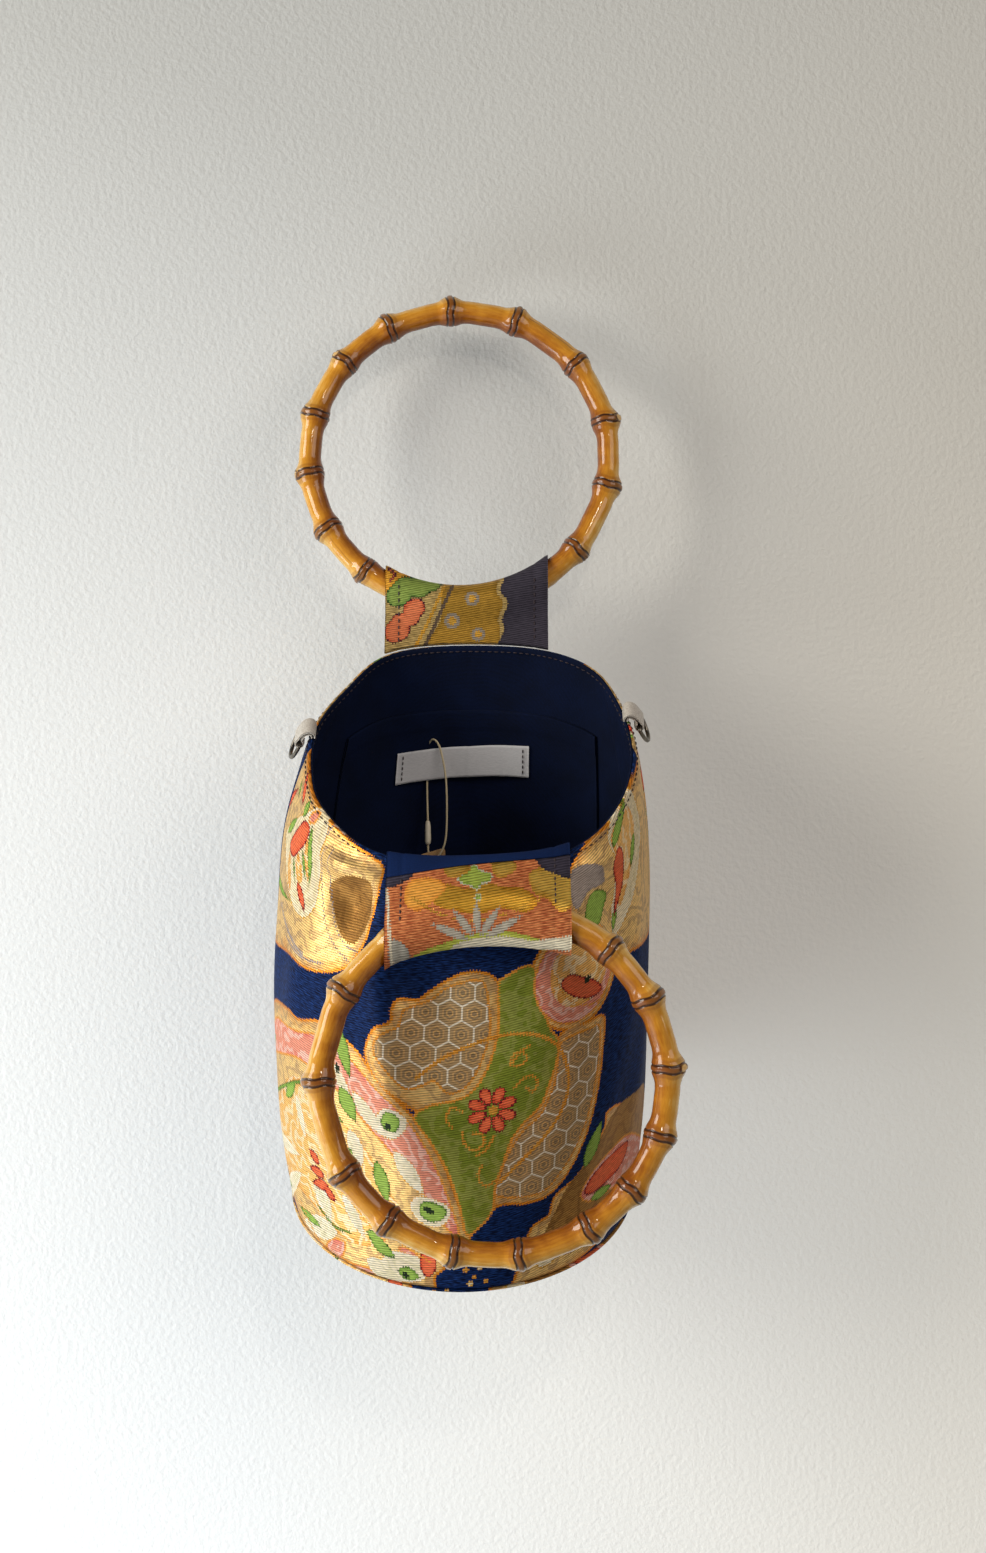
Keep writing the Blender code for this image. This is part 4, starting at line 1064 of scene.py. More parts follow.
    def hexagons(self, tree: bpy.types.NodeTree, cloth: bpy.types.NodeSocket, fill: bpy.types.NodeSocket):
        """Draw the tortoiseshell lattice of nested hexagons over a fill.

        Args:
            tree: The material's node tree.
            cloth: The place on the cloth, in millimetres.
            fill: The colour the lattice is tinted by.

        Returns:
            The colour's output.
        """
        root = math.sqrt(3.0)
        scaled = add_node(
            tree, "ShaderNodeVectorMath", {"operation": "SCALE"}, {0: cloth, "Scale": 1.0 / self.hexagon_mm}
        ).outputs[0]
        nearest = None
        for shift in ((0.0, 0.0, 0.0), (0.5, root / 2, 0.0)):
            moved = add_node(tree, "ShaderNodeVectorMath", {}, {0: scaled, 1: shift}).outputs[0]
            cell = add_node(
                tree,
                "ShaderNodeVectorMath",
                {"operation": "WRAP"},
                {0: moved, 1: (0.5, root / 2, 0.5), 2: (-0.5, -root / 2, -0.5)},
            ).outputs[0]
            size = add_node(tree, "ShaderNodeVectorMath", {"operation": "ABSOLUTE"}, {0: cell}).outputs[0]
            slant = add_node(
                tree, "ShaderNodeVectorMath", {"operation": "DOT_PRODUCT"}, {0: size, 1: (0.5, root / 2, 0.0)}
            ).outputs["Value"]
            level = add_node(tree, "ShaderNodeSeparateXYZ", inputs={0: size}).outputs["X"]
            edge = add_node(
                tree, "ShaderNodeMath", {"operation": "MAXIMUM"}, {0: slant, 1: level}
            ).outputs[0]
            nearest = edge if nearest is None else add_node(
                tree, "ShaderNodeMath", {"operation": "MINIMUM"}, {0: nearest, 1: edge}
            ).outputs[0]
        ramp = add_node(tree, "ShaderNodeValToRGB", inputs={0: nearest})
        ramp.color_ramp.interpolation = "CONSTANT"
        while len(ramp.color_ramp.elements) < len(self.hexagon_bands):
            ramp.color_ramp.elements.new(1.0)
        for element, (place, code) in zip(ramp.color_ramp.elements, self.hexagon_bands):
            element.position = place
            element.color = linear(code)
        return add_node(
            tree,
            "ShaderNodeMix",
            {"data_type": "RGBA", "blend_type": "MIX"},
            {0: 0.72, 6: fill, 7: ramp.outputs[0]},
        ).outputs[2]


BODY_BROCADE = Brocade(
    name="navy_gold_brocade",
    ground=("#071231", "#173062"),
    yarns={
        Layer.CLOUD: Yarn("#CC842E", "#E6BE7A", outline="#D68428", outline_mm=1.1, metal=0.72, depth_mm=9.0,
            raised=0.4, band="#A88660", band_mm=7.0, band_share=0.6),
        Layer.KIKKO: Yarn("#C49A60", "#E0C69C", outline="#D8903C", outline_mm=0.9, metal=0.45, raised=0.45),
        Layer.FIELD: Yarn("#8E923A", "#74802C", outline="#DA9038", outline_mm=1.0, depth_mm=12.0, raised=0.4,
            metal=0.25, band="#A4A35C", band_mm=14.0, band_share=0.35),
        Layer.TAUPE: Yarn("#8A622E", "#A0743C", raised=0.4, metal=0.45, band="#6E4A26", band_mm=9.0, band_share=0.4),
        Layer.CREAM: Yarn("#EEE6D4", "#E0D0AC", outline="#D09A40", outline_mm=0.5, raised=0.7, band="#CDB880",
            band_mm=6.0, band_share=0.4),
        Layer.ROSE: Yarn("#CE5A54", "#DA8C74", outline="#DE9440", outline_mm=0.9, depth_mm=4.0, raised=0.5,
            metal=0.15, band="#EAC4B4", band_mm=5.0, band_share=0.6),
        Layer.AMBER: Yarn("#DA8C34", "#E8B468", depth_mm=5.0, raised=0.6, metal=0.4, band="#F0DCB4", band_mm=6.0),
        Layer.PEARL: Yarn("#F6F0E2", "#E2D6B8", outline="#D89C44", outline_mm=0.3, raised=0.75, depth_mm=3.0,
            band="#C8C08C", band_mm=4.0, band_share=0.35),
        Layer.LEAF: Yarn("#4A7A28", "#92B050", outline="#2E4C1C", outline_mm=0.3, depth_mm=2.0, raised=0.7),
        Layer.CORAL: Yarn("#CC3A22", "#E06C46", outline="#6A1824", outline_mm=0.55, depth_mm=3.0, raised=0.8),
        Layer.SCROLL: Yarn("#D4862A", "#E2A648", metal=0.6, raised=0.9),
        Layer.SILVER: Yarn("#8A7C7A", "#B0A298", raised=0.8, metal=0.2),
        Layer.DARK: Yarn("#1E2A1C", "#2C3826", raised=0.9),
    },
)
FRONT_TAB_BROCADE = Brocade(
    name="coral_brocade",
    ground=("#A85634", "#C67C4C"),
    yarns={
        Layer.CLOUD: Yarn("#C27E1A", "#E6AE40", metal=0.8, raised=0.5),
        Layer.FIELD: Yarn("#8A9432", "#B8B850", raised=0.5),
        Layer.TAUPE: Yarn("#807C74", "#A09A8C", raised=0.5),
        Layer.AMBER: Yarn("#D07C2C", "#DE9C44", raised=0.6),
        Layer.LEAF: Yarn("#5C7C2A", "#98A848", outline="#B8B8A0", outline_mm=0.5, raised=0.7),
        Layer.CREAM: Yarn("#C0B49C", "#DCD0B4", raised=0.7),
        Layer.SCROLL: Yarn("#D29028", "#F0C058", metal=0.85, raised=0.8),
        Layer.SILVER: Yarn("#968E80", "#B4AA98", raised=0.6),
        Layer.DARK: Yarn("#2A2630", "#3C3844", raised=0.6),
    },
)
REAR_TAB_BROCADE = Brocade(
    name="silver_brocade",
    ground=("#9A8250", "#B89C62"),
    yarns={
        Layer.CLOUD: Yarn("#94702A", "#B48A38", metal=0.6, raised=0.5),
        Layer.TAUPE: Yarn("#54463A", "#665646", raised=0.5),
        Layer.AMBER: Yarn("#CC7C1C", "#DA9C36", raised=0.6),
        Layer.LEAF: Yarn("#34602A", "#84984A", outline="#1C381A", outline_mm=0.5, raised=0.7),
        Layer.CORAL: Yarn("#B84A2A", "#D67850", outline="#4A1C2C", outline_mm=0.5, raised=0.8),
        Layer.SILVER: Yarn("#80766A", "#968A7A", raised=0.6),
        Layer.SCROLL: Yarn("#C88C24", "#E0AE4C", metal=0.6, raised=0.8),
        Layer.DARK: Yarn("#2E2A34", "#3E3A44", raised=0.5),
    },
)


@dataclass(frozen=True)
class Cotton:
    """Plain woven cotton: a fine over-and-under weave with a soft, uneven dye."""

    name: str
    colours: tuple[str, str]
    thread_mm: float = 0.6
    roughness: float = 0.9
    sheen: float = 0.0
    depth: float = 0.00012

    def build(self) -> bpy.types.Material:
        """Make the material."""
        material, tree, output = empty_material(self.name)
        place = add_node(tree, "ShaderNodeTexCoord").outputs["Object"]
        threads = add_node(
            tree,
            "ShaderNodeTexVoronoi",
            inputs={"Vector": place, "Scale": 1.0 / (self.thread_mm * MM), "Randomness": 0.35},
        ).outputs["Distance"]
        clouds = add_node(
            tree, "ShaderNodeTexNoise", inputs={"Vector": place, "Scale": 60.0, "Detail": 4.0}
        ).outputs["Fac"]
        share = add_node(
            tree, "ShaderNodeMath", {"operation": "MULTIPLY_ADD", "use_clamp": True}, {0: threads, 1: -0.6, 2: clouds}
        ).outputs[0]
        colour = add_node(
            tree,
            "ShaderNodeMix",
            {"data_type": "RGBA"},
            {0: share, 6: linear(self.colours[0]), 7: linear(self.colours[1])},
        ).outputs[2]
        bump = add_node(
            tree, "ShaderNodeBump", inputs={"Strength": 0.6, "Distance": self.depth, "Height": threads}
        ).outputs[0]
        shader = add_node(
            tree,
            "ShaderNodeBsdfPrincipled",
            inputs={
                "Base Color": colour,
                "Roughness": self.roughness,
                "Sheen Weight": self.sheen,
                "Specular IOR Level": 0.15,
                "Normal": bump,
            },
        )
        tree.links.new(shader.outputs[0], output.inputs[0])
        return material


@dataclass(frozen=True)
class VarnishedBamboo:
    """Bent bamboo under clear varnish: straw and amber grain, with brown rings and buds at its joints."""

    name: str = "varnished_bamboo"

    def build(self) -> bpy.types.Material:
        """Make the material from the attributes that the canes carry."""
        material, tree, output = empty_material(self.name)
        read = {
            name: add_node(tree, "ShaderNodeAttribute", {"attribute_name": name})
            for name in ("grain", "joint", "bud", "groove", "tone", "outer")
        }
        grain = read["grain"].outputs["Vector"]
        streaks = add_node(
            tree,
            "ShaderNodeTexNoise",
            inputs={
                "Vector": add_node(
                    tree, "ShaderNodeVectorMath", {"operation": "MULTIPLY"}, {0: grain, 1: (0.035, 1.0, 1.0)}
                ).outputs[0],
                "Scale": 5.0,
                "Detail": 5.0,
                "Roughness": 0.6,
            },
        ).outputs["Fac"]
        blotches = add_node(
            tree, "ShaderNodeTexNoise", inputs={"Vector": grain, "Scale": 0.16, "Detail": 3.0}
        ).outputs["Fac"]
        share = add_node(
            tree, "ShaderNodeMath", {"operation": "MULTIPLY_ADD"}, {0: streaks, 1: 0.5, 2: -0.02}
        ).outputs[0]
        # The cane's outer side is painted paler: partly painted light from above, partly the cane's own tone
        tones_and_painted_light = ((blotches, 0.4), (read["tone"].outputs["Fac"], 0.2), (read["outer"].outputs["Fac"], 0.36))
        for source, weight in tones_and_painted_light:
            share = add_node(
                tree, "ShaderNodeMath", {"operation": "MULTIPLY_ADD"}, {0: source, 1: weight, 2: share}
            ).outputs[0]
        ramp = add_node(tree, "ShaderNodeValToRGB", inputs={0: share})
        stops = ((0.10, "#84440C"), (0.34, "#B4701A"), (0.60, "#D6942C"), (0.90, "#EEC672"))
        while len(ramp.color_ramp.elements) < len(stops):
            ramp.color_ramp.elements.new(1.0)
        for element, (place, code) in zip(ramp.color_ramp.elements, stops):
            element.position = place
            element.color = linear(code)
        colour = ramp.outputs[0]
        away = add_node(
            tree, "ShaderNodeMath", {"operation": "ABSOLUTE"}, {0: read["joint"].outputs["Fac"]}
        ).outputs[0]
        lines = (
            (away, 0.0, 2.3, "#7A421A", 0.85),
            (away, 1.45, 0.85, "#331608", 0.95),
            (away, 3.0, 1.2, "#8A4A16", 0.4),
            (read["groove"].outputs["Fac"], 0.0, 0.6, "#6A3410", 0.75),
            (read["bud"].outputs["Fac"], 1.0, 0.34, "#4E260E", 0.85),
            (read["bud"].outputs["Fac"], 0.0, 0.7, "#E0A850", 0.7),
        )
        for source, place, half, code, strength in lines:
            gap = add_node(
                tree, "ShaderNodeMath", {"operation": "SUBTRACT"}, {0: source, 1: place}
            ).outputs[0]
            gap = add_node(tree, "ShaderNodeMath", {"operation": "ABSOLUTE"}, {0: gap}).outputs[0]
            mask = add_node(
                tree,
                "ShaderNodeMapRange",
                {"interpolation_type": "SMOOTHSTEP"},
                {0: gap, 1: half, 2: half * 0.3, 3: 0.0, 4: strength},
            ).outputs[0]
            colour = add_node(
                tree, "ShaderNodeMix", {"data_type": "RGBA"}, {0: mask, 6: colour, 7: linear(code)}
            ).outputs[2]
        bump = add_node(
            tree, "ShaderNodeBump", inputs={"Strength": 0.25, "Distance": 0.0002, "Height": streaks}
        ).outputs[0]
        shader = add_node(
            tree,
            "ShaderNodeBsdfPrincipled",
            inputs={
                "Base Color": colour,
                "Roughness": 0.36,
                "Coat Weight": 0.85,
                "Coat Roughness": 0.06,
                "Specular IOR Level": 0.12,
                "Normal": bump,
            },
        )
        tree.links.new(shader.outputs[0], output.inputs[0])
        return material


@dataclass(frozen=True)
class Plain:
    """A finish of one colour that a fine noise mottles and roughens: leather, metal, card, thread."""

    name: str
    colours: tuple[str, str]
    roughness: float
    metallic: float = 0.0
    grain_mm: float = 0.8
    depth: float = 0.0001
    stretch: tuple[float, float, float] = (1.0, 1.0, 1.0)

    def build(self) -> bpy.types.Material:
        """Make the material."""
        material, tree, output = empty_material(self.name)
        place = add_node(tree, "ShaderNodeTexCoord").outputs["Object"]
        place = add_node(
            tree, "ShaderNodeVectorMath", {"operation": "MULTIPLY"}, {0: place, 1: self.stretch}
        ).outputs[0]
        mottle = add_node(
            tree,
            "ShaderNodeTexNoise",
            inputs={"Vector": place, "Scale": 1.0 / (self.grain_mm * MM), "Detail": 4.0, "Roughness": 0.6},
        ).outputs["Fac"]
        share = add_node(
            tree, "ShaderNodeMapRange", {}, {0: mottle, 1: 0.35, 2: 0.65}
        ).outputs[0]
        colour = add_node(
            tree,
            "ShaderNodeMix",
            {"data_type": "RGBA"},
            {0: share, 6: linear(self.colours[0]), 7: linear(self.colours[1])},
        ).outputs[2]
        bump = add_node(
            tree, "ShaderNodeBump", inputs={"Strength": 0.5, "Distance": self.depth, "Height": mottle}
        ).outputs[0]
        shader = add_node(
            tree,
            "ShaderNodeBsdfPrincipled",
            inputs={
                "Base Color": colour,
                "Roughness": self.roughness,
                "Metallic": self.metallic,
                "Normal": bump,
            },
        )
        tree.links.new(shader.outputs[0], output.inputs[0])
        return material


def facing_out(points: np.ndarray, quads: np.ndarray) -> np.ndarray:
    """Turn a closed surface's faces so that they face outwards."""
    a, b, c, d = (points[quads[:, i]] for i in range(4))
    volume = np.einsum("ij,ij->i", a, np.cross(b, c)).sum() + np.einsum("ij,ij->i", a, np.cross(c, d)).sum()
    return quads if volume > 0 else quads[:, ::-1]


def closed_strip(name: str, face: np.ndarray, back: np.ndarray) -> bpy.types.Mesh:
    """Make a closed sheet from its two sides.

    Args:
        name: The mesh's name.
        face: Rows of points of one side.
        back: The same number of rows of the other side, behind them.

    Returns:
        The mesh, whose vertices are the face's rows and then the back's in reverse order.
    """
    rows, columns = face.shape[:2]
    points = np.vstack([face, back[::-1]])
    quads = [grid_quads(2 * rows, columns, wrap_rows=True)]
    near = np.arange(rows - 1)
    for column in (0, columns - 1):
        corners = (near, near + 1, 2 * rows - 2 - near, 2 * rows - 1 - near)
        side = np.stack([corner * columns + column for corner in corners], -1)
        quads.append(side if column else side[:, ::-1])
    flat = points.reshape(-1, 3)
    return mesh_from_arrays(name, flat, facing_out(flat, np.vstack(quads)[:, ::-1]))


def swept_tube(path: np.ndarray, radii: np.ndarray, closed: bool, up: np.ndarray) -> np.ndarray:
    """Sweep a round section along a path.

    Args:
        path: The path's points.
        radii: The section's radius at each path point and each side.
        closed: Whether the path comes back to its start.
        up: A direction that the path never takes, from which the first side is turned.

    Returns:
        The tube's points, a row for each path point.
    """
    if closed:
        heading = np.roll(path, -1, axis=0) - np.roll(path, 1, axis=0)
    else:
        heading = np.gradient(path, axis=0)
    heading /= np.linalg.norm(heading, axis=1, keepdims=True)
    side = np.cross(heading, up)
    side /= np.linalg.norm(side, axis=1, keepdims=True)
    top = np.cross(side, heading)
    turns = np.linspace(0.0, math.tau, radii.shape[1], endpoint=False)
    spread = side[:, None] * np.cos(turns)[None, :, None] + top[:, None] * np.sin(turns)[None, :, None]
    return path[:, None] + spread * radii[..., None]


def tube_mesh(name: str, rows: np.ndarray, closed: bool) -> bpy.types.Mesh:
    """Make a tube's mesh from its rows, with rounded tips where it is open."""
    if not closed:
        tips = []
        for end, inner in ((0, 1), (-1, -2)):
            centre = rows[end].mean(0)
            out = centre - rows[inner].mean(0)
            out /= max(float(np.linalg.norm(out)), 1e-9)
            radius = float(np.linalg.norm(rows[end] - centre, axis=1).mean())
            tips.append(
                [centre + (rows[end] - centre) * math.cos(turn) + out * radius * math.sin(turn)
                 for turn in (0.5, 1.0, 1.35, 1.55)]
            )
        rows = np.stack([*tips[0][::-1], *rows, *tips[1]])
    quads = grid_quads(rows.shape[0], rows.shape[1], wrap_rows=closed, wrap_columns=True)
    points = rows.reshape(-1, 3)
    return mesh_from_arrays(name, points, facing_out(points, quads))


def thread_mesh(name: str, starts: np.ndarray, ends: np.ndarray, lifts: np.ndarray, radius: float) -> bpy.types.Mesh:
    """Make a row of stitches, each a short thread that dips into the cloth at both ends.

    Args:
        name: The mesh's name.
        starts: Where each stitch comes out of the cloth.
        ends: Where each stitch goes back in.
        lifts: The cloth's outward direction at each stitch.
        radius: The thread's radius.

    Returns:
        The mesh.
    """
    steps, sides = 7, 8
    t = np.linspace(0.0, 1.0, steps)
    way = ends - starts
    length = np.linalg.norm(way, axis=1, keepdims=True)
    heading = way / length
    side = np.cross(heading, lifts)
    side /= np.linalg.norm(side, axis=1, keepdims=True)
    spine = starts[:, None] + way[:, None] * t[None, :, None]
    spine = spine + lifts[:, None] * (np.sin(math.pi * t) * radius * 0.9)[None, :, None]
    width = radius * np.clip(1.0 - (2.0 * t - 1.0) ** 4, 0.12, 1.0)
    turns = np.linspace(0.0, math.tau, sides, endpoint=False)
    section = (
        side[:, None, None] * np.cos(turns)[None, None, :, None]
        + lifts[:, None, None] * np.sin(turns)[None, None, :, None]
    )
    rows = spine[:, :, None] + section * width[None, :, None, None]
    one = grid_quads(steps, sides, wrap_columns=True)
    quads = (one[None] + (np.arange(len(starts)) * steps * sides)[:, None, None]).reshape(-1, 4)
    points = rows.reshape(-1, 3)
    return mesh_from_arrays(name, points, facing_out(points, quads))


@dataclass(frozen=True)
class Finishes:
    """Every finish of the bag, made once."""

    body: bpy.types.Material
    front_tab: bpy.types.Material
    rear_tab: bpy.types.Material
    lining: bpy.types.Material
    bamboo: bpy.types.Material
    leather: bpy.types.Material
    nickel: bpy.types.Material
    label: bpy.types.Material
    string: bpy.types.Material
    plastic: bpy.types.Material
    card: bpy.types.Material
    dark_thread: bpy.types.Material
    lining_painted_lit: bpy.types.Material
    gilt_thread: bpy.types.Material

    @staticmethod
    def make() -> "Finishes":
        """Build the materials."""
        return Finishes(
            body=BODY_BROCADE.build(),
            front_tab=FRONT_TAB_BROCADE.build(),
            rear_tab=REAR_TAB_BROCADE.build(),
            # Dyed navy cotton that keeps a little blue where light grazes it
            lining=Cotton("navy_cotton", ("#050E24", "#0A1C44")).build(),
            bamboo=VarnishedBamboo().build(),
            # Silver-grey kid leather, rolled at the tab's sides
            leather=Plain("silver_leather", ("#B9B0A4", "#D8D2C8"), 0.42, grain_mm=0.7, depth=0.00015).build(),
            nickel=Plain("dark_nickel", ("#5E5A54", "#7C766C"), 0.3, metallic=1.0, grain_mm=3.0, depth=0.00002).build(),
            # White satin ribbon, whose threads run along the label
            label=Plain("white_satin", ("#D0D1D4", "#E4E4E7"), 0.6, grain_mm=0.3, stretch=(0.12, 1.0, 1.6)).build(),
            string=Plain("cream_cotton_string", ("#CBB68C", "#E6D8B6"), 0.85, grain_mm=0.3).build(),
            plastic=Plain("cream_plastic", ("#E2D6BC", "#EDE4CE"), 0.35, grain_mm=4.0, depth=0.00002).build(),
            card=Plain("kraft_card", ("#A98255", "#C9A272"), 0.85, grain_mm=0.5).build(),
            dark_thread=Plain("dark_brown_thread", ("#2C2228", "#43363A"), 0.8, grain_mm=0.3).build(),
            # A lighter copy of the navy cotton for the lining rolled out over the front tab: painted light on that fold
            lining_painted_lit=Cotton("navy_cotton_painted_lit", ("#071B42", "#0D2A5E")).build(),
            gilt_thread=Plain("rose_gilt_thread", ("#B9824A", "#D8A878"), 0.5, metallic=0.2, grain_mm=0.3).build(),
        )


@dataclass
class Cane:
    """A bamboo ring: a bent cane with joints, each with its beaded rings, and a bud at every other one.

    Joint places are in degrees, clockwise from the ring's top.
    """

    name: str
    node: str
    body: str
    centre: np.ndarray
    top: np.ndarray
    joints: tuple[float, ...]
    seed: int
    radius: float = 0.069
    cane_radius: float = 0.0056
    swell: float = 0.0009
    swell_mm: float = 3.85
    knob: float = 1.55
    waist_mm: float = 0.45
    tab_degrees: float = 180.0
    sides: int = 28

    def build(self, finishes: Finishes) -> bpy.types.Object:
        """Make the ring and let it ride on its body."""
        random = np.random.default_rng(self.seed)
        joints = np.array(self.joints)
        near = np.concatenate([np.arange(-3.2, 3.21, 0.2), np.linspace(4.0, 9.5, 8)])
        near = np.unique(np.concatenate([near, -near])) / (self.radius / MM)
        angles = np.unique(np.round(((np.radians(joints)[:, None] + near[None]) % math.tau).ravel(), 4))
        arc = self.radius / MM
        turns = np.linspace(0.0, math.tau, self.sides, endpoint=False)
        offset = (angles[:, None] - np.radians(joints)[None] + math.pi) % math.tau - math.pi
        nearest = np.argmin(np.abs(offset), axis=1)
        along = offset[np.arange(len(angles)), nearest] * arc
        lean = random.uniform(0.0, math.tau, len(joints))[nearest][:, None]
        wobble = 0.45 * np.sin(turns[None] * 2 + lean) + 0.28 * np.sin(turns[None] * 5 + 2.3 * lean)
        joint_mm = along[:, None] + wobble
        beads = 0.16 * np.sin(turns[None] * 9 + lean) * np.exp(-((joint_mm / 1.2) ** 2))
        dent = np.exp(-(((np.abs(joint_mm) - 1.45) / 0.34) ** 2))
        in_tab = np.abs((np.degrees(angles) - self.tab_degrees + 180.0) % 360.0 - 180.0) < 38.0
        knob = np.where(in_tab, 1.0, self.knob + 0.35 * np.sin(lean[:, 0] * 3.0))[:, None]
        inner_side = 1.0 - 0.45 * np.cos(turns[None])
        swell = self.swell / MM * knob * np.where(in_tab[:, None], 1.0, inner_side)
        swell = swell * np.exp(-((along[:, None] / self.swell_mm) ** 2))
        waist = np.where(in_tab, 0.0, self.waist_mm)[:, None] * smoothstep((np.abs(along[:, None]) - 2.0) / 5.0)
        section = self.cane_radius / MM - waist + swell + beads - 0.40 * dent
        order = np.searchsorted(np.sort(joints), np.degrees(angles) % 360.0, side="right") % len(joints)
        tone = random.uniform(-0.35, 0.35, len(joints))[order][:, None]
        section = section * (1.0 + 0.012 * np.sin(turns[None] * 2 + 5.0 * tone + angles[:, None] * 3.0))
        groove_turn = random.uniform(2.0, 4.4, len(joints))[order][:, None]
        groove_on = (order % 2 == 0)[:, None] * smoothstep((np.abs(along[:, None]) - 2.2) / 3.0)
        gap = np.abs((turns[None] - groove_turn + math.pi) % math.tau - math.pi) * self.cane_radius / MM
        groove = np.where(groove_on > 0.05, gap, 3.0) + 3.0 * (1.0 - groove_on)
        section = section - 0.28 * np.exp(-((gap / 0.7) ** 2)) * groove_on
        bud_turn = random.uniform(2.4, 4.2, len(joints))[nearest][:, None]
        bud_gap = ((turns[None] - bud_turn + math.pi) % math.tau - math.pi) * self.cane_radius / MM
        bud = np.hypot(bud_gap / 2.1, (along[:, None] - 0.2) / 1.8)
        bud = np.where((nearest % 2 == 1)[:, None], bud, 3.0)
        section = section + 0.30 * np.exp(-(((bud - 0.9) / 0.35) ** 2)) - 0.15 * np.exp(-((bud / 0.5) ** 2))
        across = np.array([1.0, 0.0, 0.0])
        path = self.centre + self.radius * (
            np.sin(angles)[:, None] * across + np.cos(angles)[:, None] * self.top
        )
        rows = swept_tube(path, section * MM, closed=True, up=np.cross(across, self.top))
        mesh = tube_mesh(self.name, rows, closed=True)
        out = rows - self.centre
        # How far toward the ring's outer side a point lies; the material paints that side paler as painted light
        outward = np.clip((np.linalg.norm(out, axis=2) - self.radius) / self.cane_radius, -1.0, 1.0)
        grain = np.stack(
            [
                np.broadcast_to(angles[:, None] * arc, joint_mm.shape),
                np.broadcast_to(np.cos(turns)[None] + 7.0 * tone, joint_mm.shape),
                np.broadcast_to(np.sin(turns)[None], joint_mm.shape),
            ],
            -1,
        )
        set_attribute(mesh, "grain", grain.reshape(-1, 3))
        set_attribute(mesh, "joint", np.where(bud < 0.9, 6.0, np.abs(joint_mm)).ravel())
        set_attribute(mesh, "bud", bud.ravel())
        set_attribute(mesh, "groove", np.broadcast_to(groove, joint_mm.shape).ravel())
        set_attribute(mesh, "tone", np.broadcast_to(tone, joint_mm.shape).ravel())
        set_attribute(mesh, "outer", outward.ravel())
        piece = add_piece(self.name, mesh, finishes.bamboo)
        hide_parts(self.node)
        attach(piece, self.body)
        report(piece)
        return piece

    def at(self, x: np.ndarray, is_top: bool) -> np.ndarray:
        """Give the cane's centre over an X, on the ring's top arc or on its bottom one."""
        turn = np.arcsin((x - self.centre[0]) / self.radius)
        height = np.cos(turn) * (1.0 if is_top else -1.0)
        point = self.centre + self.radius * height[..., None] * self.top
        point[..., 0] = x
        return point


REAR_LEAN = math.radians(8.0)
REAR_TOP = np.array([0.0, math.sin(REAR_LEAN), math.cos(REAR_LEAN)])
REAR_CENTRE_FROM_HANG = 0.06307
REAR_CANE = Cane(
    name="rear_cane",
    node="rear_ring",
    body="rear_ring",
    centre=-REAR_CENTRE_FROM_HANG * REAR_TOP,
    top=REAR_TOP,
    joints=(-3.5, 22.3, 51.3, 76.5, 101.9, 129.6, 152.0, 174.0, 196.0, 218.1, 239.9, 262.7, 286.1, 309.6, 331.8),
    seed=11,
)
FRONT_CANE = Cane(
    name="front_cane",
    node="front_ring",
    body="front_ring",
    centre=np.array([0.0159, -0.14881, -0.33157]),
    top=np.array([0.0, 0.0, 1.0]),
    joints=(16.0, 41.2, 61.8, 85.4, 108.1, 128.2, 147.0, 171.6, 193.5, 217.2, 238.5, 270.0, 301.1, 326.0, 351.0),
    seed=23,
    tab_degrees=0.0,
)


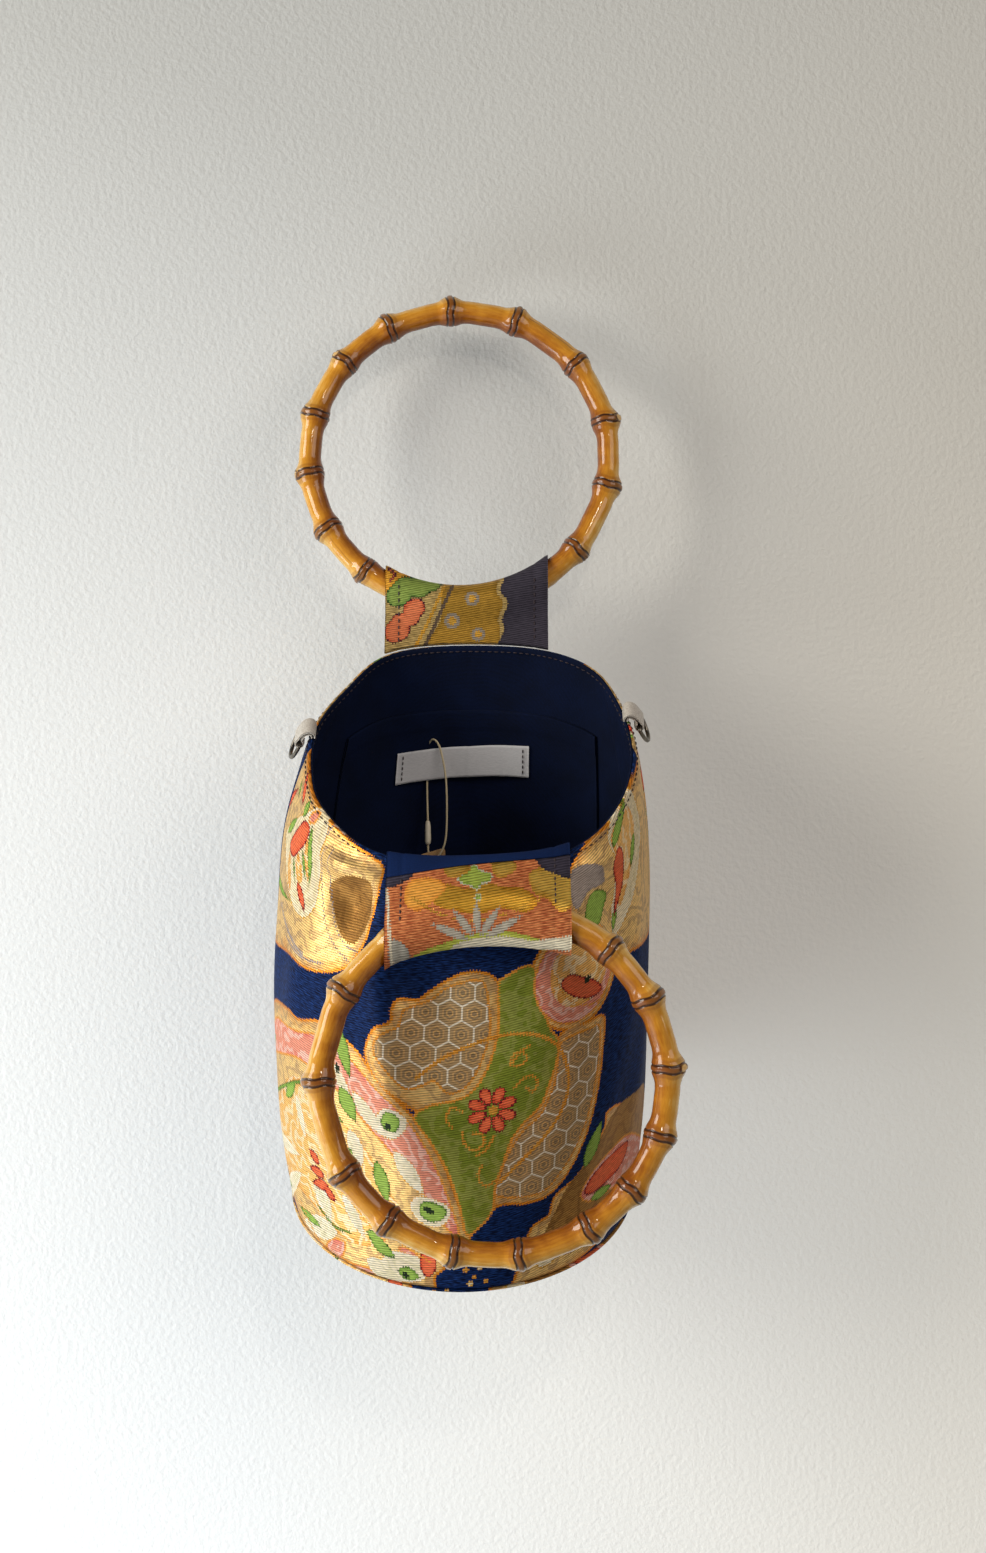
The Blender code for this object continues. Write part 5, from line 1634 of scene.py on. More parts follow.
@dataclass(frozen=True)
class Shell:
    """The outer bag and its lining, each a front and a back panel and a round base."""

    cloth: float = 0.0012
    lining: float = 0.0007
    seam_gap: float = 0.0007
    lining_lap: float = 0.012
    side_seam: float = 0.00042
    thread_step_mm: float = 0.95
    back_step_mm: float = 1.1

    @property
    def lining_inset(self) -> float:
        """The lining's depth inside the outer cloth's face."""
        return self.cloth + GAP

    def angles(self, front: bool, count: int, lap: float = 0.0) -> np.ndarray:
        """Give a panel's columns, clear of the other panel at both side seams or lapped past it."""
        middle = 0.0 if front else math.pi
        reach = math.pi / 2 + lap - self.side_seam / (2.0 * FORM.base_radius)
        return np.linspace(middle - reach, middle + reach, count)

    def add_outer(self, sheet: BodySheet, finishes: Finishes) -> None:
        """Make the two outer panels, with their seams turned in."""
        for facing, step, shift in (("front", self.thread_step_mm, (0.0, 0.0)), ("back", self.back_step_mm, (22.0, 9.0))):
            columns = int(FORM.round_mm * math.pi / step)
            rows = int(FORM.tall_mm / step)
            front = facing == "front"
            angles = self.angles(front, columns)[None, :]
            drops = np.linspace(0.0, 1.0, rows)[:, None]
            middle = 0.0 if front else math.pi
            edge = np.minimum((angles - angles[0, 0]) * 75.0, (angles[0, -1] - angles) * 75.0)
            tuck = 0.0007 * (np.exp(-((edge / 1.1) ** 2)) + np.exp(-((1.0 - drops) * 178.0 / 1.1) ** 2)) + 0.0005 * np.exp(-((drops * 178.0 / 0.7) ** 2))
            tuck = np.broadcast_to(tuck, (rows, columns))
            face = FORM.point(drops, angles, tuck)
            back = FORM.point(drops, angles, self.cloth + 0.0 * tuck)
            mesh = closed_strip(f"outer_{facing}", face, back)
            spots = FORM.cloth_mm(drops, angles - middle).reshape(-1, 2)
            mirrored = np.broadcast_to(spots.reshape(rows, columns, 2), (rows, columns, 2))[::-1].reshape(-1, 2)
            sheet.draw(mesh, np.vstack([spots, mirrored]) + np.array(shift))
            piece = add_piece(f"{facing}_wall", mesh, finishes.body)
            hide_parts(f"outer_{facing}_panel")
            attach(piece, "bag")
            report(piece)

    def add_lining(self, finishes: Finishes) -> None:
        """Make the two lining panels."""
        tall = float(np.linalg.norm(np.array(FORM.mouth_centre) - np.array(FORM.base_centre)))
        bottom = 1.0 - (self.lining + self.seam_gap) / tall
        for facing in ("front", "back"):
            front = facing == "front"
            angles = self.angles(front, 160, self.lining_lap)[None, :]
            drops = np.linspace(0.0, bottom, 120)[:, None]
            creases = self.creases(drops, angles)
            face = FORM.point(drops, angles, self.lining_inset + creases)
            back = FORM.point(drops, angles, self.lining_inset + self.lining + creases)
            piece = add_piece(f"{facing}_lining", closed_strip(f"lining_{facing}", face, back), finishes.lining)
            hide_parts(f"lining_{facing}_panel")
            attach(piece, "bag")
            report(piece)

    @staticmethod
    def creases(drops: np.ndarray, angles: np.ndarray) -> np.ndarray:
        """Say how far the lining stands in from the outer cloth where it is creased."""
        turn = np.degrees(angles % math.tau)
        free = smoothstep(drops / 0.03) * smoothstep((0.9 - drops) / 0.1)
        clear = 1.0 - smoothstep((58.0 - np.abs(turn - 180.0)) / 5.0)
        fold = np.exp(-(((turn - 122.0 + 60.0 * drops) / 3.2) ** 2)) + 0.8 * np.exp(
            -(((turn - 104.0 + 75.0 * drops) / 3.0) ** 2)
        )
        fold = fold + 0.6 * np.exp(-(((turn - 246.0 - 50.0 * drops) / 3.4) ** 2))
        return 0.0016 * fold * free * clear

    def add_bases(self, sheet: BodySheet, finishes: Finishes) -> None:
        """Make the round bases: the outer one sags a little and is rounded at its seam."""
        forward, normal = FORM.axes(FORM.base_slope)
        turns = np.linspace(0.0, math.tau, 180, endpoint=False)[None, :]
        plans = (
            ("base", "outer_base", FORM.base_radius, -self.seam_gap, -self.seam_gap - self.cloth, 0.0012, 90),
            (
                "lining_floor",
                "lining_base",
                FORM.base_radius - self.cloth - self.seam_gap,
                -self.seam_gap + GAP + self.lining,
                -self.seam_gap + GAP,
                0.0,
                24,
            ),
        )
        for name, node, radius, top, bottom, sag, rings in plans:
            share = np.linspace(0.004, 1.0, rings)[:, None]
            round_edge = 0.0004 * np.exp(-(((1.0 - share) * radius / 0.0012) ** 2))
            drawn = []
            for height, sign in ((top, -1.0), (bottom, 1.0)):
                level = height - sag * (1.0 - share**2) + sign * round_edge
                point = (
                    np.array(FORM.base_centre)
                    + (share * radius * np.cos(turns))[..., None] * forward
                    + (np.broadcast_to(level, (rings, turns.size)))[..., None] * normal
                )
                point[..., 0] += share * radius * np.sin(turns)
                drawn.append(point)
            rows = np.vstack([drawn[0], drawn[1][::-1]])
            quads = grid_quads(2 * rings, turns.size, wrap_rows=True, wrap_columns=True)
            points = rows.reshape(-1, 3)
            mesh = mesh_from_arrays(name, points, facing_out(points, quads))
            if node == "outer_base":
                spots = np.stack([share * radius * np.sin(turns) / MM, 90.0 + share * radius * np.cos(turns) / MM], -1)
                flat = spots.reshape(-1, 2)
                sheet.draw(mesh, np.vstack([flat, spots[::-1].reshape(-1, 2)]) + np.array((14.0, 4.0)))
                piece = add_piece(name, mesh, finishes.body)
            else:
                piece = add_piece(name, mesh, finishes.lining)
            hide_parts(node)
            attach(piece, "bag")
            report(piece)

    def add_rim_stitches(self, finishes: Finishes) -> None:
        """Topstitch the mouth's edge, through the outer cloth and the lining."""
        count, share = 150, 0.012
        first = np.linspace(0.0, math.tau, count, endpoint=False)
        last = first + math.tau / count * 0.68
        for name, depth, side in (
            ("rim_stitches_outside", -0.0001, 1.0),
            ("rim_stitches_inside", self.lining_inset + self.lining + 0.0001, -1.0),
        ):
            drops = np.full(count, share)
            starts, ends = FORM.point(drops, first, depth), FORM.point(drops, last, depth)
            mesh = thread_mesh(name, starts, ends, FORM.normal(drops, (first + last) / 2) * side, 0.00026)
            piece = add_piece(name, mesh, finishes.dark_thread)
            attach(piece, "bag")
            report(piece)


@dataclass(frozen=True)
class Pocket:
    """The patch pocket on the back lining, with a turned hem, and the woven label on its face."""

    half_angle: float = math.radians(50.0)
    top: float = 0.145
    bottom: float = 0.65
    slack: float = 0.002
    slack_share: float = 0.2
    patch_gap: float = 0.0006
    hem_mm: float = 7.0
    label_centre: float = math.radians(181.5)
    label_width: float = 0.062
    label_height: float = 0.015
    label_top: float = 0.225
    label_cloth: float = 0.0004
    label_lift: float = 0.0024
    label_lift_power: float = 0.7
    label_tilt: float = 0.014

    def inset(self, drop, angle):
        """Give the pocket's depth inside the outer cloth's face."""
        slack = self.slack * (1.0 - smoothstep((drop - self.top) / self.slack_share))
        across = np.cos((angle - math.pi) / self.half_angle * math.pi / 2)
        return SHELL.lining_inset + SHELL.lining + self.patch_gap + slack * np.clip(across, 0.0, None)

    def build(self, finishes: Finishes) -> None:
        """Make the pocket with its hem, the label and the label's stitches."""
        angles = np.linspace(math.pi - self.half_angle, math.pi + self.half_angle, 110)[None, :]
        drops = np.linspace(self.top, self.bottom, 90)[:, None]
        down_mm = (drops - self.top) * FORM.tall_mm
        hem = 0.0003 * (1.0 - smoothstep((down_mm - self.hem_mm) / 0.8)) + 0.0 * angles
        inset = self.inset(drops, angles)
        face = FORM.point(drops, angles, inset)
        back = FORM.point(drops, angles, inset + SHELL.lining + hem)
        piece = add_piece("pocket", closed_strip("pocket", face, back), finishes.lining)
        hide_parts("inner_pocket")
        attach(piece, "bag")
        report(piece)
        wall = float(np.linalg.norm(FORM.plain_point(1.0, math.pi) - FORM.plain_point(0.0, math.pi)))
        share = np.linspace(0.0, 1.0, 60)[None, :]
        angles = self.label_centre + self.label_width / 2 / FORM.base_radius * (2.0 * share - 1.0)
        drops = np.linspace(self.label_top, self.label_top + self.label_height / wall, 14)[:, None]
        drops = drops + self.label_tilt * (share - 0.5)
        lift = self.label_lift * np.sin(math.pi * np.clip(share, 0.0, 1.0)) ** self.label_lift_power
        depth = self.inset(drops, angles) + SHELL.lining + self.patch_gap + lift
        face = FORM.point(drops, angles, depth)
        back = FORM.point(drops, angles, depth + self.label_cloth)
        piece = add_piece("label", closed_strip("label", face, back), finishes.label)
        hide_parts("woven_label")
        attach(piece, "bag")
        report(piece)
        starts, ends, lifts = [], [], []
        for end_share in (0.045, 0.955):
            turn = self.label_centre + self.label_width / 2 / FORM.base_radius * (2.0 * end_share - 1.0)
            lift = self.label_lift * math.sin(math.pi * end_share) ** self.label_lift_power
            places = np.linspace(self.label_top + 0.006, self.label_top + self.label_height / wall - 0.006, 6)
            places = places + self.label_tilt * (end_share - 0.5)
            for start, end in zip(places[:-1], places[1:]):
                gap = (end - start) * 0.14
                ends_at = np.array([start + gap, end - gap])
                depth = self.inset(ends_at, turn) + SHELL.lining + self.patch_gap + lift + self.label_cloth
                pair = FORM.point(ends_at, np.array([turn, turn]), depth + 0.0001)
                starts.append(pair[0])
                ends.append(pair[1])
                lifts.append(-FORM.normal(start, turn))
        mesh = thread_mesh("label_stitches", np.array(starts), np.array(ends), np.array(lifts), 0.00028)
        piece = add_piece("label_stitches", mesh, finishes.dark_thread)
        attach(piece, "bag")
        report(piece)


SHELL = Shell()


def bezier(points: tuple[np.ndarray, ...], share: np.ndarray) -> np.ndarray:
    """Read points from a cubic curve."""
    left = 1.0 - share
    first, second, third, fourth = points
    return first * left**3 + 3 * second * left**2 * share + 3 * third * left * share**2 + fourth * share**3


@dataclass(frozen=True)
class LoopSection:
    """A strap's section where it folds round a bar and comes back to its own sewn start."""

    cloth: float
    clear_radius: float
    line_steps: int = 40
    fold_steps: int = 22

    def line(self, start, leave, held, arrive, opening: float, reach: float) -> np.ndarray:
        """Draw the middle of the cloth, from the sewn end round the bar and back."""
        share = np.linspace(0.0, 1.0, self.line_steps)[:, None]
        spine = bezier((start, start + leave, held - arrive, held), share)
        spans = np.linalg.norm(np.diff(spine, axis=0), axis=1)
        left = np.concatenate([np.cumsum(spans[::-1])[::-1], [0.0]])
        heading = np.gradient(spine, axis=0)
        heading /= np.linalg.norm(heading, axis=1, keepdims=True)
        across = np.stack([heading[:, 1], -heading[:, 0]], -1)
        closed_half, open_half = (self.cloth + GAP) / 2, self.clear_radius + self.cloth / 2
        half = closed_half + (open_half - closed_half) * smoothstep(1.0 - left / opening)
        sides = [spine + across * half[:, None] * sign for sign in (1.0, -1.0)]
        way = arrive / np.linalg.norm(arrive)
        out = np.array([way[1], -way[0]])
        turn = math.pi * np.arange(1, self.fold_steps)[:, None] / self.fold_steps
        fold = held + out * open_half * np.cos(turn) + way * reach * np.sin(turn)
        return np.vstack([sides[0], fold, sides[1][::-1]])

    def faces(self, line: np.ndarray) -> tuple[np.ndarray, np.ndarray]:
        """Give the cloth's outer and inner faces along its middle line."""
        heading = np.gradient(line, axis=0)
        heading /= np.linalg.norm(heading, axis=1, keepdims=True)
        across = np.stack([heading[:, 1], -heading[:, 0]], -1)
        return line + across * self.cloth / 2, line - across * self.cloth / 2


@dataclass(frozen=True)
class RingTab:
    """A wide cloth tab that carries a ring: sewn to the mouth's edge and folded round the cane."""

    facing: str
    cane: Cane
    centre_x: float
    rise: float
    opening: float = 0.0170
    width: float = 0.0740
    cloth: float = 0.0011
    hang_share: float = 0.62
    rise_tilt: float = 0.0
    seat: float = 0.0010
    slack: float = 0.0075
    level_share: float = 0.55
    columns: int = 96
    stitch_inset: float = 0.0064
    clear_radius: float = 0.0068

    @property
    def is_front(self) -> bool:
        """Whether this is the front tab."""
        return self.facing == "front"

    def lines(self, xs: np.ndarray) -> np.ndarray:
        """Draw the middle line of the tab's section over each X."""
        section = LoopSection(self.cloth, self.clear_radius)
        angles = FORM.mouth_angle(xs, self.is_front)
        depth = (SHELL.cloth + GAP + SHELL.lining) / 2
        edges = FORM.plain_point(0.0, angles) - FORM.normal(0.0, angles) * depth
        held_points = self.cane.at(xs, is_top=self.is_front)
        crown = self.cane.at(np.array([self.cane.centre[0]]), is_top=True)[0, 2]
        drawn = []
        for x, edge, cane in zip(xs, edges, held_points):
            stretch = 1.0 / math.cos(math.asin((x - self.cane.centre[0]) / self.cane.radius))
            reach = self.clear_radius * stretch + self.cloth / 2
            start = np.array([edge[1], edge[2] + self.seat])
            held = cane[1:]
            if self.is_front:
                rise = self.rise * (1.0 + self.rise_tilt * (x - self.centre_x) / self.width)
                leave = np.array([0.0, rise])
                arrive = np.array([0.0, -(rise + start[0] - held[0]) * self.hang_share])
                reach += max(self.slack - (crown - cane[2]) * self.level_share, 0.0)
            else:
                arrive = leave = (held - start) / np.linalg.norm(held - start) * self.rise
            drawn.append(section.line(start, leave, held, arrive, self.opening * stretch, reach))
        return np.stack(drawn)

    def build(self, sheet: FlatSheet, material: bpy.types.Material, finishes: Finishes) -> None:
        """Make the tab and its stitches, and the front tab's lining roll."""
        xs = np.linspace(self.centre_x - self.width / 2, self.centre_x + self.width / 2, self.columns)
        lines = self.lines(xs)
        section = LoopSection(self.cloth, self.clear_radius)
        faces = [section.faces(line) for line in lines]
        edge_mm = np.minimum(xs - xs[0], xs[-1] - xs) / MM
        pinch = (0.00035 * np.exp(-((edge_mm / 0.8) ** 2)))[:, None, None]
        pulled = (0.00022 * np.exp(-(((edge_mm - self.stitch_inset / MM) / 0.9) ** 2)))[:, None, None]
        outer = np.stack([face for face, _ in faces])
        inner = np.stack([face for _, face in faces])
        thick = (outer - inner) / self.cloth
        outer, inner = outer - thick * (pinch + pulled), inner + thick * pinch
        columns = [
            np.concatenate([np.broadcast_to(xs[:, None, None], (*side.shape[:2], 1)), side], -1).transpose(1, 0, 2)
            for side in (outer, inner)
        ]
        mesh = closed_strip(f"{self.facing}_tab", *columns)
        seen = lines[:, :, 1].T / MM * -1.0
        spots = np.stack([np.broadcast_to(xs / MM, seen.shape), seen], -1)
        both = np.vstack([spots, spots[::-1]]).reshape(-1, 2)
        sheet.draw(mesh, both)
        piece = add_piece(f"{self.facing}_loop", mesh, material)
        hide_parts(f"{self.facing}_tab")
        pieces = [piece, self.stitches(outer, inner, xs, finishes)]
        if self.is_front:
            pieces.append(self.lining_roll(outer, xs, finishes))
        for part in pieces:
            start, end = self.bend_range()
            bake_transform(part)
            report(part)

    def bend_range(self) -> tuple[tuple[float, ...], tuple[float, ...]]:
        """Give the point at the mouth's edge and the point on the cane that the tab spans."""
        held = self.cane.at(np.array([self.centre_x]), is_top=self.is_front)[0]
        angle = FORM.mouth_angle(self.centre_x, self.is_front)
        edge = FORM.plain_point(0.0, angle)
        return tuple(float(v) for v in edge), tuple(float(v) for v in held)

    def stitches(self, outer: np.ndarray, inner: np.ndarray, xs: np.ndarray, finishes: Finishes) -> bpy.types.Object:
        """Sew a row of dark stitches down both sides of the tab's visible face."""
        starts, ends, lifts = [], [], []
        near = np.arange(6, 36) if self.is_front else np.arange(outer.shape[1] - 38, outer.shape[1] - 4)
        for x in (xs[0] + self.stitch_inset, xs[-1] - self.stitch_inset):
            column = int(np.argmin(np.abs(xs - x)))
            face, back = outer[column, near], inner[column, near]
            path = np.column_stack([np.full(len(near), xs[column]), face])
            under = np.column_stack([np.full(len(near), xs[column]), back])
            length = float(np.linalg.norm(np.diff(path, axis=0), axis=1).sum())
            count = max(int(length / 0.0030), 3)
            even, deep = even_line(path, 3 * count + 1), even_line(under, 3 * count + 1)
            for number in range(count):
                starts.append(even[3 * number])
                ends.append(even[3 * number + 2])
                lift = even[3 * number + 1] - deep[3 * number + 1]
                lifts.append(lift / np.linalg.norm(lift))
        mesh = thread_mesh(
            f"{self.facing}_tab_stitches", np.array(starts), np.array(ends), np.array(lifts), 0.00032
        )
        return add_piece(f"{self.facing}_loop_stitches", mesh, finishes.dark_thread)

    def lining_roll(self, outer: np.ndarray, xs: np.ndarray, finishes: Finishes) -> bpy.types.Object:
        """Roll the navy lining out over the front tab's arch."""
        share = np.linspace(0.0, 1.0, 18)
        ends = 16.0 - 1.5 * smoothstep((xs - xs[0]) / self.width)
        places = 1.0 + share[None] * (ends[:, None] - 1.0)
        stand = 0.0002 + 0.0004 * np.sin(math.pi * share) ** 0.5
        index = np.arange(outer.shape[1])
        section = np.stack(
            [
                np.stack([np.interp(place, index, line[:, axis]) for axis in (0, 1)], -1)
                for place, line in zip(places, outer)
            ]
        )
        heading = np.gradient(section, axis=1)
        heading /= np.linalg.norm(heading, axis=2, keepdims=True)
        across = np.stack([heading[..., 1], -heading[..., 0]], -1)
        low = section + across * 0.0002
        high = section + across * stand[None, :, None] + across * 0.0005
        columns = [
            np.concatenate([np.broadcast_to(xs[:, None, None], (*side.shape[:2], 1)), side], -1).transpose(1, 0, 2)
            for side in (high, low)
        ]
        # The roll takes the lighter copy of the navy cotton, painted light where the fold faces up
        return add_piece("lining_roll", closed_strip("lining_roll", *columns), finishes.lining_painted_lit)


FRONT_TAB = RingTab(facing="front", cane=FRONT_CANE, centre_x=0.0095, rise=0.0036, rise_tilt=1.5, seat=0.0001)
REAR_TAB = RingTab(facing="rear", cane=REAR_CANE, centre_x=0.0035, rise=0.0060)


@dataclass(frozen=True)
class SideFitting:
    """A leather side tab at the mouth's edge, folded over the bar of its D ring."""

    side: str
    angle: float
    width: float = 0.0100
    leather: float = 0.0010
    rise: float = 0.0050
    opening: float = 0.0030
    reach: float = 0.0062
    drop: float = 0.0034
    wire: float = 0.0009
    bar: float = 0.0135
    depth: float = 0.0104
    lean: float = math.radians(26.0)
    roundness: float = 0.8

    def axes(self) -> tuple[np.ndarray, np.ndarray, np.ndarray, np.ndarray]:
        """Give the sewn edge's place and the outward, along and upward directions."""
        forward, normal = FORM.axes(FORM.mouth_slope)
        out = np.array([math.copysign(1.0, self.angle), 0.0, 0.0])
        depth = (SHELL.cloth + GAP + SHELL.lining) / 2
        edge = FORM.plain_point(0.0, self.angle) - FORM.normal(0.0, self.angle) * depth + normal * 0.0010
        return edge, out, forward, normal

    def build(self, finishes: Finishes) -> None:
        """Make the leather tab and the D ring."""
        edge, out, along, up = self.axes()
        clear = self.wire + GAP
        section = LoopSection(self.leather, clear, line_steps=26, fold_steps=18)
        rise = np.array([0.0, self.rise])
        held = np.array([self.reach, -self.drop])
        line = section.line(np.zeros(2), rise, held, -rise, self.opening, clear + self.leather / 2)
        outer, inner = section.faces(line)
        shifts = np.linspace(-self.width / 2, self.width / 2, 16)
        round_off = 0.00028 * np.abs(shifts / (self.width / 2)) ** 8
        thick = (outer - inner) / self.leather
        drawn = []
        for face, sign in ((outer, -1.0), (inner, 1.0)):
            flat = face[:, None] + thick[:, None] * (sign * round_off)[None, :, None]
            drawn.append(
                edge + shifts[None, :, None] * along + flat[..., :1] * out + flat[..., 1:] * up
            )
        piece = add_piece(f"{self.side}_leather", closed_strip(f"{self.side}_leather", *drawn), finishes.leather)
        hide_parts(f"{self.side}_side_tab")
        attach(piece, "bag")
        report(piece)
        self.add_d_ring(edge + out * self.reach - up * self.drop, out, along, up, finishes)

    def add_d_ring(self, bar: np.ndarray, out, along, up, finishes: Finishes) -> None:
        """Make the D ring of round wire."""
        half = self.bar / 2
        turns = np.linspace(0.0, math.pi, 61)
        arc = np.stack([half * np.cos(turns), -self.depth * np.sin(turns) ** self.roundness], -1)
        straight = np.stack([np.linspace(-half, half, 14)[1:-1], np.zeros(12)], -1)
        outline = even_line(np.vstack([arc, straight, arc[:1]]), 97)[:-1]
        hang = up * math.cos(self.lean) - out * math.sin(self.lean)
        path = bar + outline[:, :1] * along + outline[:, 1:] * hang
        rows = swept_tube(path, np.full((len(path), 14), self.wire * 0.97), True, np.cross(along, hang))
        piece = add_piece(f"{self.side}_ring", tube_mesh(f"{self.side}_ring", rows, closed=True), finishes.nickel)
        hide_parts(f"{self.side}_d_ring")
        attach(piece, f"{self.side}_d_ring")
        report(piece)


@dataclass(frozen=True)
class HangTag:
    """A twisted string looped round the label, closed by a plug-in joint, with a blank card on it."""

    diameter: float = 0.0010
    length: float = 0.117
    twist_mm: float = 1.9
    samples: int = 420
    sides: int = 12
    eyelet: int = 3
    hidden_start: int = 17
    end_gap: float = 0.0016
    route: tuple[tuple[float, float, float], ...] = (
        (-0.0143, -0.0166, -0.2421),
        (-0.0142, -0.0166, -0.2444),
        (-0.0135, -0.0168, -0.2466),
        (-0.0120, -0.0182, -0.2480),
        (-0.0100, -0.0200, -0.2474),
        (-0.0080, -0.0206, -0.2448),
        (-0.0064, -0.0207, -0.2405),
        (-0.0057, -0.0207, -0.2340),
        (-0.0056, -0.0207, -0.2250),
        (-0.0058, -0.0207, -0.2150),
        (-0.0066, -0.0207, -0.2070),
        (-0.0080, -0.0209, -0.2000),
        (-0.0092, -0.0209, -0.1962),
        (-0.0108, -0.0199, -0.1940),
        (-0.0126, -0.0183, -0.1938),
        (-0.0140, -0.0166, -0.1965),
        (-0.0147, -0.0149, -0.2030),
        (-0.0148, -0.0141, -0.2085),
        (-0.0148, -0.0136, -0.2125),
        (-0.0148, -0.0139, -0.2170),
        (-0.0146, -0.0149, -0.2240),
        (-0.0144, -0.0158, -0.2304),
    )
    card_size: tuple[float, float, float] = (0.0160, 0.0240, 0.0005)
    hole_radius: float = 0.0013
    hole_inset: float = 0.0035
    card_lean: float = 0.25
    joint_radius: float = 0.0014
    joint_taper: float = 0.75

    def build(self, finishes: Finishes) -> None:
        """Make the string, its joint and the card."""
        route = np.array(self.route)
        order = [*range(self.hidden_start, len(route)), *range(0, self.hidden_start + 1)]
        fine = smooth_line(route[order], closed=False, steps=12)
        travelled = np.concatenate([[0.0], np.cumsum(np.linalg.norm(np.diff(fine, axis=0), axis=1))])
        fine = fine[travelled < travelled[-1] - self.end_gap]
        path = even_line(fine, self.samples)
        span = float(np.linalg.norm(np.diff(path, axis=0), axis=1).sum()) / MM
        turns = np.linspace(0.0, math.tau, self.sides, endpoint=False)
        phase = math.tau * np.linspace(0.0, span / self.twist_mm, self.samples)
        plies = np.abs(np.cos(turns[None] - phase[:, None]))
        rows = swept_tube(path, self.diameter / 2 * (0.76 + 0.24 * plies), False, np.array([0.8, 0.6, 0.1]))
        string = add_piece("string_loop", tube_mesh("string_loop", rows, closed=False), finishes.string)
        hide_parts("tag_string")
        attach(string, "bag")
        joint = self.add_joint(route, finishes)
        card = self.add_card(route, finishes)
        LOG.info("string measured %.4f m", span * MM)
        report(string)

    def add_joint(self, route: np.ndarray, finishes: Finishes) -> bpy.types.Object:
        """Make the bullet-shaped plug that closes the string."""
        low, high = route[0], route[-1]
        axis = (high - low) / np.linalg.norm(high - low)
        profile = np.array([[0.02, 0.0], [0.55, 0.01], [0.86, 0.05], [1.0, 0.14], [1.0, 0.46], [0.93, 0.5],
            [1.0, 0.54], [0.92, 0.8], [self.joint_taper, 0.93], [0.5, 0.985], [0.02, 1.0]])
        length = float(np.linalg.norm(high - low)) - 2 * GAP
        path = low + axis * (GAP + profile[:, 1:] * length)
        side = np.cross(axis, np.array([1.0, 0.0, 0.0]))
        side /= np.linalg.norm(side)
        turns = np.linspace(0.0, math.tau, 24, endpoint=False)
        ring = side * np.cos(turns)[:, None] + np.cross(axis, side) * np.sin(turns)[:, None]
        rows = path[:, None] + ring[None] * (profile[:, :1] * self.joint_radius)[..., None]
        points = rows.reshape(-1, 3)
        quads = grid_quads(*rows.shape[:2], wrap_columns=True)
        mesh = mesh_from_arrays("bullet_joint", points, facing_out(points, quads))
        piece = add_piece("bullet_joint", mesh, finishes.plastic)
        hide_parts("string_joint")
        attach(piece, "bag")
        report(piece)
        return piece

    def add_card(self, route: np.ndarray, finishes: Finishes) -> bpy.types.Object:
        """Make the blank kraft card, rounded at its corners and holed for the string."""
        eyelet = route[self.eyelet]
        tangent = route[self.eyelet + 1] - route[self.eyelet - 1]
        tangent /= np.linalg.norm(tangent)
        down = np.array([self.card_lean, 0.0, -1.0])
        down -= tangent * float(down @ tangent)
        down /= np.linalg.norm(down)
        side = np.cross(down, tangent)
        width, tall, thick = self.card_size
        turns = np.linspace(0.0, math.tau, 96, endpoint=False)
        power = 0.16
        edge = np.stack(
            [
                width / 2 * np.sign(np.cos(turns)) * np.abs(np.cos(turns)) ** power,
                tall / 2 * np.sign(np.sin(turns)) * np.abs(np.sin(turns)) ** power + tall / 2 - self.hole_inset,
            ],
            -1,
        )
        hole = self.hole_radius * np.stack([np.cos(turns), np.sin(turns)], -1)
        shares = np.array([0.0, 0.02, 0.15, 0.4, 0.7, 0.98, 1.0])
        half = np.array([0.8, 1.0, 1.0, 1.0, 1.0, 1.0, 0.7]) * thick / 2
        flat = hole[None] * (1 - shares[:, None, None]) + edge[None] * shares[:, None, None]
        plane = eyelet + flat[..., :1] * side + flat[..., 1:] * down
        lift = half[:, None, None] * tangent
        rows = np.vstack([plane + lift, (plane - lift)[::-1]])
        points = rows.reshape(-1, 3)
        quads = grid_quads(rows.shape[0], rows.shape[1], wrap_rows=True, wrap_columns=True)
        mesh = mesh_from_arrays("kraft_card", points, facing_out(points, quads))
        piece = add_piece("kraft_card", mesh, finishes.card)
        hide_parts("hang_tag")
        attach(piece, "bag")
        report(piece)
        return piece


